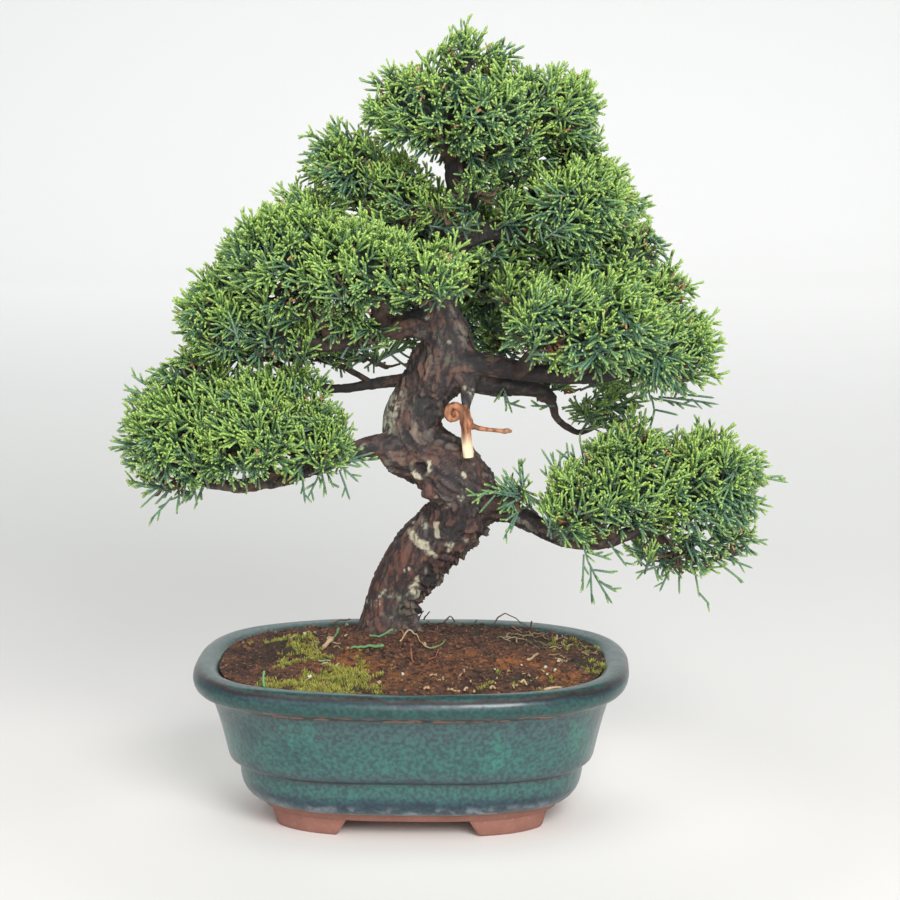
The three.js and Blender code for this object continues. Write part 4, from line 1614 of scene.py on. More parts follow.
@dataclass
class Litter:
    """Clippings, fine roots and twigs that lie on the soil, pressed on to it."""

    bed: SoilBed
    bits: list[Bit] = listed([
        Bit([[-20.5, 1, 0.9], [-25, -1.5, 0.9], [-30.5, -4.5, 0.9]], 0.55, 0.74),
        Bit([[-24.5, -15.5, 0.9], [-30, -13, 1.1], [-33, -14.5, 1.0], [-37, -16, 0.9]], 0.6, 0.76),
        Bit([[-43.5, 12, 1.2], [-43.5, 2, 1.1], [-44.5, -4, 1.0]], 0.5, 0.74),
        Bit([[-44.7, -6, 1.1], [-47.5, -11.5, 1.0]], 1.1, 0.28),
        Bit([[-65.6, -57, 0.4], [-66, -56.5, 3.6], [-65.6, -56, 6.4]], 0.55, 0.76),
        Bit([[-48, -30, 0.9], [-43.5, -29, 0.9]], 0.35, 0.8),
        Bit([[-50.4, -46.6, 0.8], [-49.4, -46, 1.0]], 0.7, 1.0),
        Bit([[-52.3, -50, 0.6], [-50, -46.5, 0.9]], 0.25, 0.3),
        Bit([[-24.4, -52.6, 0.7], [-23.4, -52.2, 0.8]], 0.9, 0.22),
        Bit([[-16.2, -44.4, 0.7], [-15.4, -44.1, 0.8]], 0.8, 0.96),
        Bit([[-56.8, 9.6, 0.8], [-55.8, 9.8, 0.9]], 0.7, 0.96),
        Bit([[-38.4, -14.8, 0.9], [-37.6, -14.5, 0.9]], 0.6, 0.4),
        Bit([[-48.5, 36, 1.8], [-44.5, 36.5, 3.0], [-40.5, 36.5, 3.6]], 0.4, 0.04),
        Bit([[-14, 39, 2.0], [-11.7, 39, 5.6]], 0.3, 0.0), Bit([[-11.7, 39, 2.0], [-9.3, 39, 5.2]], 0.3, 0.0),
        Bit([[-18.7, -7.3, 0.7], [-15.9, -0.8, 1.9], [-13.3, -1.6, 1.2], [-12.1, -2.7, 1.0],
             [-9.6, -12.6, 0.9], [-7, -15, 0.8]], 0.3, 0.25),
        Bit([[-7, -15, 0.8], [-3, -12.7, 1.0], [-1.5, -5.2, 0.9]], 0.42, 0.7),
        Bit([[-21.5, 8.2, 0.8], [-17.4, -2.3, 0.8]], 0.42, 0.44),
        Bit([[-14.2, -16.5, 0.8], [-12.4, -32.7, 0.7]], 0.42, 0.47),
        Bit([[-7, -27, 0.7], [-5, -23, 1.0], [-3.3, -18, 0.8]], 0.3, 0.5),
        Bit([[15.5, 37.5, 0.9], [17.8, 37.5, 3.8], [22.2, 37, 5.3], [26.2, 36.5, 2.2], [29.9, 36, 1.0]],
            0.3, 0.04),
        Bit([[30.4, 36, 0.4], [30.9, 36, 3.8]], 0.42, 0.02),
        Bit([[-3.9, 39, 1.5], [-1.4, 39, 3.8], [0.6, 39, 1.5]], 0.35, 0.02),
        Bit([[7.7, 38.5, 0.8], [9.3, 38.5, 2.7]], 0.35, 0.02),
        Bit([[30, -25.8, 0.8], [33.9, -15.3, 0.9]], 0.6, 0.3),
        Bit([[40.7, 14.7, 0.2], [40.9, 14.9, 2.2]], 0.5, 0.3),
        Bit([[39.6, -2.6, 0.7], [40.4, -2.4, 0.9]], 0.6, 0.7),
        Bit([[36.1, -59, 1.0], [39.5, -57.6, 1.5], [42.6, -55.4, 1.0]], 0.6, 0.27),
        Bit([[16.6, -58, 0.8], [17.4, -57.2, 1.6], [18.6, -57.8, 0.9]], 0.5, 0.3),
        Bit([[27.7, -52, 0.8], [28.7, -51.4, 1.8], [29.9, -52, 0.9]], 0.55, 0.27),
    ])
    strewn: list[Strewn] = listed([
        Strewn((33, 11), (13, 13), 26, 4.0, 9.0, 0.25, (0.0, 0.2), 1),
        Strewn((48, -8), (8, 16), 12, 3.0, 7.0, 0.25, (0.05, 0.22), 2),
        Strewn((16, -46), (22, 11), 18, 0.6, 1.8, 0.28, (0.18, 0.3), 3),
        Strewn((18, -38), (25, 14), 7, 0.3, 0.8, 0.4, (0.9, 1.0), 4),
        Strewn((4, -61), (11, 2), 8, 0.6, 1.6, 0.5, (0.22, 0.3), 5),
        Strewn((-50, -10), (14, 30), 14, 1.0, 3.5, 0.35, (0.05, 0.3), 6),
        Strewn((-4, 37), (12, 3), 9, 3.0, 7.0, 0.28, (0.0, 0.1), 7),
    ])

    def seated(self, path: Rows) -> Array:
        """Lays a bit on the soil.

        Args:
            path: Its points, with their heights measured up from the soil under them.

        Returns:
            Its smooth path.
        """
        points = rounded_path(np.array(path, float), 5)
        foot = np.array([*self.bed.foot, 0.0])
        edge = self.bed.plan.ring(self.bed.edge_length, 0.0) + POT_CENTRE
        for point in points:
            way = point[:2] - foot[:2]
            reach = edge[:, :2] - foot[:2]
            near = np.argmax(reach @ way / np.linalg.norm(reach, axis=1))
            part = min(1.0, np.linalg.norm(way) / np.linalg.norm(reach[near]))
            point[2] += self.bed.top(point[None, :], np.array([part]))[0]
        return points

    def build(self) -> Piece:
        """Makes all the litter.

        Returns:
            The litter, one piece.
        """
        skins = []
        for bit in self.bits + [bit for group in self.strewn for bit in group.bits()]:
            path = self.seated(bit.path)
            share = np.linspace(0, 1, len(path))
            radii = bit.radius * (1 - 0.3 * share) * (1 + 0.12 * np.sin(9 * share))
            skin = tube(path, radii, 6)
            skin.values["kind"] = np.full(len(skin.points), bit.kind)
            skins.append(skin)
        return new_piece("soil_litter", joined(skins), LitterFinish().material(), Slot.SOIL)


@dataclass
class Wood:
    """Trunk and branches. Each row of a limb is a point on its middle line and its radius."""

    voxel: float = 0.8
    thick_from: float = 4.0
    base_top: float = 104.0
    trunk: Rows = listed([
        [-24.5, 12, 50, 10.5], [-24.5, 12, 62, 12.4], [-23.8, 12.5, 69, 10.8], [-21.8, 13, 78, 10.1],
        [-18, 12.5, 86, 10.7], [-12.5, 11, 94, 11.5], [-6, 8.5, 101.5, 11.4], [0.5, 5.5, 108, 11.6],
        [4.5, 2, 115.5, 11.8], [4.8, 0, 122, 12.0], [-0.6, -1, 129.8, 12.4], [-8.5, 0.5, 136, 11.6],
        [-13.6, 1.6, 142, 11.4], [-14.4, 2, 147.5, 11.2], [-12.8, 1.5, 153.5, 10.5],
        [-9.6, 0.5, 160, 10.3], [-4, -2, 169, 11.2],
        [-1, -4, 178, 9.6], [-4, -3, 188, 8.4], [-5, 1, 198, 7.5], [-1, 1, 208, 6.8], [4, -1, 219, 6.2],
        [6, -3, 230, 5.5], [3, -5, 241, 4.8], [4, -7, 253, 4], [8, -10, 264, 3.4], [8, -12, 275, 2.4],
        [6, -12, 286, 1.4]])
    limbs: dict[str, Rows] = listed({
        "left_low": [
            [-15, -2, 139, 6.2], [-25.5, -5.5, 139.6, 4.5], [-33, -8, 139, 3.7], [-48, -13, 134, 3.3],
            [-63, -16, 129, 3], [-79, -18, 126.5, 2.6], [-93, -19, 129, 2.1], [-104, -21, 137, 1.5]],
        "left_low_collar": [[-10, -1, 133.5, 8.6], [-18, -3, 135, 7], [-24, -4.6, 138, 4.8]],
        "left_low_inner": [[-48, -13, 134, 2.6], [-51, -17, 140, 2], [-52, -21, 145, 1.4]],
        "left_low_front": [[-63, -16, 128, 2.6], [-69, -23, 137, 2], [-74, -30, 147, 1.4]],
        "left_main": [
            [-5, -2, 186, 6.5], [-16, -9, 186, 5], [-28, -15, 184, 4.3], [-42, -21, 181.5, 3.9],
            [-56, -26, 181.5, 3.4], [-71, -25, 185, 2.8], [-85, -21, 190, 2]],
        "left_main_front": [
            [-24, -13, 184, 3.6], [-25, -28, 193, 3], [-18, -40, 203, 2.4], [-6, -47, 208, 1.6]],
        "left_main_middle": [[-25, -28, 193, 2.4], [-28, -38, 203, 2], [-30, -43, 210, 1.5]],
        "left_main_top": [[-42, -22, 181, 3.4], [-47, -27, 193, 2.8], [-55, -27, 211, 1.8]],
        "left_back": [
            [-8, 2, 164.5, 4.6], [-16, 8, 162.8, 3], [-26.4, 13, 161, 2.3], [-42, 13, 158.4, 1.9],
            [-53, 14, 160.5, 1.7], [-63, 22, 172, 1.4]],
        "left_back_end": [[-53, 14, 160.5, 1.5], [-68, 18, 168, 1.5], [-79, 14, 178, 1.3]],
        "left_back_upper": [[-30, 13, 160.6, 1.3], [-41, 17, 166, 1.1], [-52, 20, 169, 1]],
        "right_main": [
            [-1, -4, 172, 8], [9, -8, 171.4, 5.4], [16, -10, 171, 4.3], [30, -15, 169.6, 3.7],
            [46, -22, 169.4, 3.5], [60, -26, 171, 3.1], [73, -21, 175, 2.5], [82, -18, 180, 1.8]],
        "right_main_inner": [[26, -14, 169.6, 3.2], [32, -30, 179, 2.6], [36, -42, 190, 1.7]],
        "right_main_front": [[46, -22, 169, 3.2], [53, -33, 180, 2.6], [56, -39, 191, 1.8]],
        "right_back": [
            [0, -1, 166, 7], [10.4, -1.6, 164, 4.9], [17, -1.4, 162.4, 4.2], [25.5, -1, 161.6, 3.4],
            [34.5, -0.6, 160, 2.7], [39, 6, 156, 2]],
        "right_back_twig": [
            [34, -0.6, 159.2, 2.6], [38.4, 8, 154, 1.8], [40, 18, 147, 1.4], [44, 23, 142.6, 1.3],
            [50.5, 24, 140.4, 1.1], [60, 25, 146, 1]],
        "right_low": [
            [8, 2, 115, 7.2], [19, -3, 116, 5.2], [29, -9, 112.6, 4.1], [42, -16, 107.4, 3.3],
            [57, -20, 106.6, 3], [71, -21, 112, 2.6], [86, -18, 121, 2], [96, -16, 129, 1.5]],
        "right_low_front": [[42, -16, 106, 2.6], [47, -23, 113, 2.1], [51, -29, 121, 1.4]],
        "right_low_middle": [
            [60, -21, 109, 2.6], [65, -22, 119, 2.1], [68, -23, 130, 1.7], [70, -21, 145, 1.2]],
        "right_low_end": [[71, -21, 113, 2.2], [79, -16, 107, 1.8], [84, -14, 104, 1.4]],
        "sprig_twig": [
            [12, -5, 116.5, 3.4], [19, -13, 119, 2.4], [25, -19, 122, 1.7], [27.4, -21.5, 125.6, 1]],
        "sprig_twig_low": [[24, -18, 121.5, 1.4], [26.6, -21, 117.6, 1]],
        "shoulder": [
            [6, -2, 224, 5], [-5, -3, 224, 4], [-17, -6, 228, 3.4], [-28, -8, 235, 2.6],
            [-37, -8, 244, 1.7]],
        "shoulder_back": [[-17, -6, 228, 2.6], [-24, 8, 231, 2.1], [-29, 20, 236, 1.5]],
        "right_upper": [
            [5, -2, 219, 5.2], [17, -8, 221, 4], [30, -14, 222, 3.4], [42, -18, 225, 2.8],
            [51, -17, 231, 1.8]],
        "right_upper_end": [[39, -17, 225, 2.4], [58, -11, 218, 2], [70, -9, 214, 1.4]],
        "right_upper_back": [[17, -8, 221, 2.8], [35, 8, 223, 2.2], [52, 25, 228, 1.5]],
        "back_middle": [[-5, 2, 196, 5.6], [-4, 19, 193, 4.2], [-2, 33, 191, 3.2], [-1, 44, 191, 2]],
        "crown_right": [[4, -7, 250, 3.6], [15, -10, 254, 2.8], [27, -9, 258, 2.3], [38, -8, 263, 1.6]],
        "crown_left": [[3, -5, 244, 3.4], [-2, -13, 253, 2.5], [-7, -17, 264, 1.6]],
        "crown_back": [[4, -5, 243, 3.2], [7, 5, 249, 2.4], [11, 15, 256, 1.6]],
        "crown_front": [[4, -7, 252, 3], [12, -17, 255, 2.3], [17, -22, 261, 1.5]],
        "right_bulge": [[1, -1, 122, 9.5], [6, -2, 125.4, 8.3], [10.2, -4, 128.6, 5.2]],
        "pruned_stub": [[-3, -4, 121.5, 4.1], [-7.4, -8, 122.2, 2.5], [-9.4, -10.4, 122.4, 2.1]],
        "snag": [[6, -6, 169, 5.4], [7, -11, 162.5, 3.2], [6.6, -14, 157.5, 2.1], [6.4, -15, 154, 1.6]],
        "root_left": [[-27, 10, 66, 7], [-34, 8, 61, 4.6], [-39, 7, 57, 3]],
        "root_right": [[-19, 10, 66, 7.5], [-13.5, 8, 61, 5], [-9, 6, 57, 3]],
        "root_front": [[-24, 7, 66, 7.5], [-25, 0, 60.5, 5], [-25, -4, 57, 3]],
    })
    pale_bands: Rows = listed([
        [-14.4, 104.2, -9.4, 100.2, 1.7], [-9.4, 100.2, -5.4, 96.4, 0.9], [-5.2, 109.4, -4.6, 105, 1.1],
        [0.6, 102.2, -0.4, 98.8, 0.8], [-14.6, 83.8, -14.2, 82.4, 1.2], [-12.4, 88, -13.4, 85, 0.6],
        [-7.6, 134.6, -7.2, 131.6, 0.8], [-13.4, 130.2, -10.4, 128.8, 0.6], [5.3, 130.4, 5.7, 129.8, 0.9],
        [-15.6, 91.2, -17, 90.6, 0.7]])
    ring_knot: Pair = (-10.6, 132.4)
    ring_radius: float = 3.5
    dome: Sizes = (2.4, 136.6, 4.4)
    bark_twist: float = 0.024
    bark_warp: Sizes = (1.6, 1.6, 3.4)
    plate_size: Sizes = (3.2, 3.2, 10.5)
    small_plate_size: Sizes = (1.5, 1.5, 5.0)
    ridge_size: Sizes = (2.0, 2.0, 13.0)
    crumb_size: Sizes = (0.9, 0.9, 2.2)
    shelf_height: float = 5.6
    thick_sides: int = 24
    thin_sides: int = 9
    batch: int = 4000

    def lines(self) -> list[Array]:
        """Each limb's smooth middle line, the trunk's first."""
        return [rounded_path(np.array(rows, float), 6) for rows in [self.trunk, *self.limbs.values()]]

    def thick(self, line: Array) -> bool:
        """Whether a limb is thick enough to grow into the trunk as one skin."""
        return line[0][3] > self.thick_from

    def remeshed(self) -> Skin:
        """The trunk and the thick limbs.

        Returns:
            Their one even skin.
        """
        thick = [line for line in self.lines() if self.thick(line)]
        tubes = [tube(line[:, :3], line[:, 3], self.thick_sides) for line in thick]
        made = shown("limbs", joined(tubes).mesh("limbs"), [])
        modifier = made.modifiers.new("remesh", "REMESH")
        modifier.mode = "VOXEL"
        modifier.voxel_size = self.voxel * MM
        finished(made)
        mesh = made.data
        points = np.array([v.co[:] for v in mesh.vertices]) / MM
        faces = [tuple(face.vertices) for face in mesh.polygons]
        bpy.data.objects.remove(made)
        bpy.data.meshes.remove(mesh)
        return Skin(self.relaxed(points, faces, 3), faces)

    @staticmethod
    def relaxed(points: Array, faces: Faces, times: int) -> Array:
        """Points drawn towards the middle of their neighbours, which softens every edge.

        Args:
            points: The points of a skin.
            faces: Its faces.
            times: How often they are drawn in.

        Returns:
            The softened points.
        """
        pairs = np.array([(a, b) for face in faces for a, b in zip(face, face[1:] + face[:1])])
        count = np.bincount(pairs[:, 0], minlength=len(points))[:, None]
        for _ in range(times):
            total = np.stack([
                np.bincount(pairs[:, 0], weights=points[pairs[:, 1], k], minlength=len(points))
                for k in range(3)], axis=1)
            points = points + 0.6 * (total / count - points)
        return points

    def straightened(self, points: Array) -> tuple[Array, Array]:
        """Where each point would be if its limb were a straight post.

        Args:
            points: Points near the limbs.

        Returns:
            Their places round and along the post, and the limb's radius there.
        """
        rows = []
        start = 0.0
        for line in self.lines():
            if not self.thick(line):
                continue
            path = line[:, :3]
            ahead, across, other = carried_frames(path)
            run = np.concatenate([[0], np.cumsum(np.linalg.norm(np.diff(path, axis=0), axis=1))])
            rows.append(np.hstack([path, line[:, 3:4], ahead, across, other, (run + start)[:, None]]))
            start += run[-1] + 40
        marks = np.vstack(rows)
        made, radii = np.zeros((len(points), 3)), np.zeros(len(points))
        for i in range(0, len(points), self.batch):
            part = points[i : i + self.batch]
            away = np.linalg.norm(part[:, None] - marks[None, :, :3], axis=2) / (marks[None, :, 3] + 3)
            near = marks[np.argmin(away, axis=1)]
            offset = part - near[:, :3]
            along = near[:, 13] + (offset * near[:, 4:7]).sum(axis=1)
            made[i : i + self.batch] = np.stack([
                (offset * near[:, 7:10]).sum(axis=1), (offset * near[:, 10:13]).sum(axis=1), along], axis=1)
            radii[i : i + self.batch] = near[:, 3]
        return made, radii

    def marks(self, points: Array, front: Array) -> tuple[Array, Array, Array]:
        """The scars on the front of the trunk.

        Args:
            points: Places on the trunk.
            front: How much each faces the front, from 0 to 1.

        Returns:
            How far each place is raised, how pale it is, and how dark it is painted as shade in the knot's
            hollow.
        """
        flat = points[:, [0, 2]]
        ragged = 0.35 * Grain.smooth(points / 1.6, 131, 2)
        pale = np.zeros(len(points))
        for *ends, radius in self.pale_bands:
            start, end = np.array(ends[:2]), np.array(ends[2:])
            share = np.clip((flat - start) @ (end - start) / np.sum((end - start) ** 2), 0, 1)
            away = np.linalg.norm(flat - start - share[:, None] * (end - start), axis=1) / radius
            pale = np.maximum(pale, rise(1.2 - away + ragged, 0, 0.35))
        away = np.linalg.norm(flat - np.array(self.ring_knot), axis=1) / self.ring_radius
        ring = rise(-np.abs(away - 1 + 0.3 * ragged), -0.4, -0.08)
        hole = rise(-away + 0.4 * ragged, -0.8, -0.4)
        bump = rise(-np.linalg.norm(flat - np.array(self.dome[:2]), axis=1) / self.dome[2], -1.1, 0)
        raised = 1.3 * ring - 2.4 * hole + 1.8 * bump
        return raised * front, np.clip(pale + 0.12 * ring, 0, 1) * front, hole * front

    def barked(self, skin: Skin) -> Skin:
        """Raises the bark: shelves, plates, cracks and fine ridges that follow each limb.

        Args:
            skin: The smooth wood.

        Returns:
            The same faces with rough bark, and the values that its finish reads.
        """
        normals = normals_of(skin)
        points = skin.points
        z = points[:, 2]
        post, radii = self.straightened(points)
        turn = post[:, 2] * self.bark_twist
        cos, sin = np.cos(turn), np.sin(turn)
        x, y, along = post.T
        post = np.stack([x * cos - y * sin, x * sin + y * cos, along], axis=1)
        warp = np.stack([Grain.smooth(post / 6, 50 + k, 2) for k in range(3)], axis=1)
        post = post + warp * np.array(self.bark_warp)
        edge, level = Grain.flakes(post / np.array(self.plate_size), 60)
        fine_edge, fine_level = Grain.flakes(post / np.array(self.small_plate_size), 70)
        ridges = 1 - 2 * np.abs(Grain.smooth(post / np.array(self.ridge_size), 80, 2))
        crumbs = Grain.smooth(post / np.array(self.crumb_size), 90, 2)
        low = rise(-z, -self.base_top, -self.base_top + 16)
        low_front = rise(-normals[:, 0] - 0.35 * normals[:, 1], 0.0, 0.6) * low
        patches = rise(Grain.smooth(points / 9, 95, 2), 0.15, 0.6)
        rough = np.clip(radii / 10.5, 0.22, 1.1) * (1 - 0.6 * low_front) * (1 - 0.3 * patches)
        shelf = (post[:, 2] / self.shelf_height + 1.1 * Grain.smooth(points / 8, 98, 1)) % 1.0
        ragged = rise(normals[:, 0] - 0.25 * normals[:, 2], 0.0, 0.75) * rise(-z, -142, -124)
        raised = 1.5 * (level - 0.45) * rise(edge, 0.02, 0.26) + 0.6 * (fine_level - 0.5)
        raised += 0.5 * ridges + 0.32 * crumbs - 0.6 * (1 - rise(edge, 0.0, 0.2))
        raised += ragged * (2.4 * (0.75 - shelf) - 0.4)
        front = rise(-normals[:, 1], 0.1, 0.5)
        scar, pale, hole = self.marks(points, front)
        crack = 0.6 * (1 - rise(edge, 0.03, 0.3)) + 0.45 * (1 - rise(fine_edge, 0.02, 0.22))
        # Painted shade: darker on the low plates and between the ridges.
        deep = rise(0.62 - level - 0.3 * ridges, 0.1, 0.5)
        warm = rise(Grain.smooth(points / 8, 99, 2), -0.1, 0.45)
        # Painted light: a pale band down the trunk's left-facing side.
        painted_light_left_edge = rise(-normals[:, 0] - 0.1 * normals[:, 1], 0.35, 0.85)
        painted_light_left_edge *= rise(z, 132, 138) * rise(-z, -166, -154) * rise(-points[:, 0], 13, 18)
        smooth_band = 1 - 0.7 * painted_light_left_edge
        specks = 0.8 * rise(Grain.smooth(points / 4.5, 101, 2), 0.62, 0.8)
        # Painted shade under the foliage: on the limbs out from the trunk and high up under the crown.
        away = rise(np.abs(points[:, 0] + 4), 17, 30) * rise(z, 146, 156)
        painted_shade_under_foliage = 0.42 * np.maximum(away, rise(z, 186, 204))
        values = {
            # The crack value holds the real cracks and painted shade: low plates, the knot's hollow and under
            # the foliage.
            "crack": np.clip(crack * 0.75 + deep * 0.5 + hole + painted_shade_under_foliage, 0, 1) * smooth_band,
            "level": np.where(level > 0, level, 0),
            "peel": np.clip(1.1 * low_front + 0.6 * warm, 0, 1),
            # Lichen specks, and painted light on the trunk's left side.
            "lichen": np.clip(0.9 * painted_light_left_edge + specks, 0, 1),
            "bare": pale * (1 - hole),
        }
        lift = raised * rough * smooth_band + scar
        return Skin(points + normals * lift[:, None], skin.faces, values)

    def thin_limbs(self) -> Skin:
        """The thin limbs, which lie mostly inside the foliage.

        Returns:
            Their one skin.
        """
        skins = []
        for i, line in enumerate(line for line in self.lines() if not self.thick(line)):
            skin = tube(line[:, :3], line[:, 3], self.thin_sides)
            wobble = 0.2 * Grain.smooth(skin.points / 2.4, 110 + i, 2)
            centre = np.concatenate([np.repeat(line[:, :3], self.thin_sides, axis=0), line[[0, -1], :3]])
            skin.points = centre + (skin.points - centre) * (1 + wobble[:, None])
            count = len(skin.points)
            skin.values.update({
                "crack": np.clip(0.55 - wobble * 2, 0, 1), "level": np.full(count, 0.5),
                "peel": np.full(count, 0.25), "lichen": np.zeros(count), "bare": np.zeros(count)})
            skins.append(skin)
        return joined(skins)

    def build(self) -> Piece:
        """Makes the wood as one piece."""
        whole = joined([self.barked(self.remeshed()), self.thin_limbs()])
        return new_piece("trunk_and_branches", whole, BarkFinish().material(), Slot.BARK, "wood")


@dataclass
class Deadwood:
    """The bare stub at the bend of the trunk: a curled head, a stalk cut off flat and a side twig."""

    stalk: Rows = listed([
        [4.4, -15.4, 156.4, 1.5], [5.5, -16.1, 154.8, 2.3], [6.3, -16.5, 152.6, 2.2],
        [6.8, -16.6, 150.4, 2.45], [6.6, -16.5, 148.2, 2.0], [6.7, -16.2, 145, 1.85],
        [7, -15.9, 141.5, 1.85], [7.4, -15.7, 138.6, 1.95], [7.5, -15.7, 137.4, 1.9]])
    twig: Rows = listed([
        [6.8, -16.4, 149.9, 1.9], [8.8, -16.6, 149.4, 1.35], [10.8, -16.6, 148.7, 0.95],
        [12.8, -16.6, 148.3, 0.85], [16, -16.5, 147.9, 0.75], [19, -16.4, 147.6, 0.8],
        [21, -16.3, 147.4, 1.0], [22, -16.3, 147.6, 0.9], [23.6, -16.2, 147.3, 0.45]])
    curl_centre: Sizes = (2.3, -16.8, 154.2)
    curl_radius: float = 2.75
    curl_thickness: float = 1.5
    curl_steps: int = 34
    core_offset: Sizes = (0.2, 1.0, 0)
    core_reach: Sizes = (2.6, 1.5, 2.6)
    grain_size: Sizes = (0.9, 0.9, 4.0)

    def curl(self) -> Skin:
        """The rolled lip of wood at the head, winding in to its middle.

        Returns:
            Its skin.
        """
        turns = np.linspace(math.radians(-35), math.radians(400), self.curl_steps)
        shares = np.linspace(0, 1, self.curl_steps)
        reach = self.curl_radius * np.interp(shares, [0, 0.6, 1], [1.15, 0.95, 0.2])
        path = np.array(self.curl_centre) + np.stack([
            reach * np.cos(turns), -0.9 * np.sin(shares * math.pi), reach * np.sin(turns)], axis=1)
        radii = self.curl_thickness * np.interp(shares, [0, 0.12, 0.6, 1], [0.7, 1, 0.9, 0.35])
        ways, faces = ball(4)
        middle = np.array(self.curl_centre) + np.array(self.core_offset)
        core = Skin(middle + ways * np.array(self.core_reach), faces)
        return joined([tube(path, radii, 14), core])

    def build(self) -> Piece:
        """Makes the deadwood.

        Returns:
            The deadwood, one piece.
        """
        parts = [self.curl()]
        for rows, sides in ((self.stalk, 28), (self.twig, 14)):
            line = rounded_path(np.array(rows, float), 8)
            parts.append(tube(line[:, :3], line[:, 3], sides))
        skin = joined(parts)
        x, _, z = skin.points.T
        grain = Grain.smooth(skin.points / np.array(self.grain_size), 120, 2)
        rough = 0.24 * (1 - rise(-z, -139.5, -138)) * (1 - 0.7 * rise(x, 9, 12))
        skin.points = skin.points + normals_of(skin) * (rough * grain)[:, None]
        cut_end = rise(-z, -150, -139) * rise(-x, -12, -10)
        skin.values["pale"] = np.clip(cut_end + 0.25 * rise(x, 10, 24), 0, 1)
        skin.values["crack"] = rise(-grain, 0.15, 0.6) * (1 - skin.values["pale"])
        return new_piece("bare_deadwood", skin, DeadwoodFinish().material(), Slot.DEADWOOD, "deadwood")


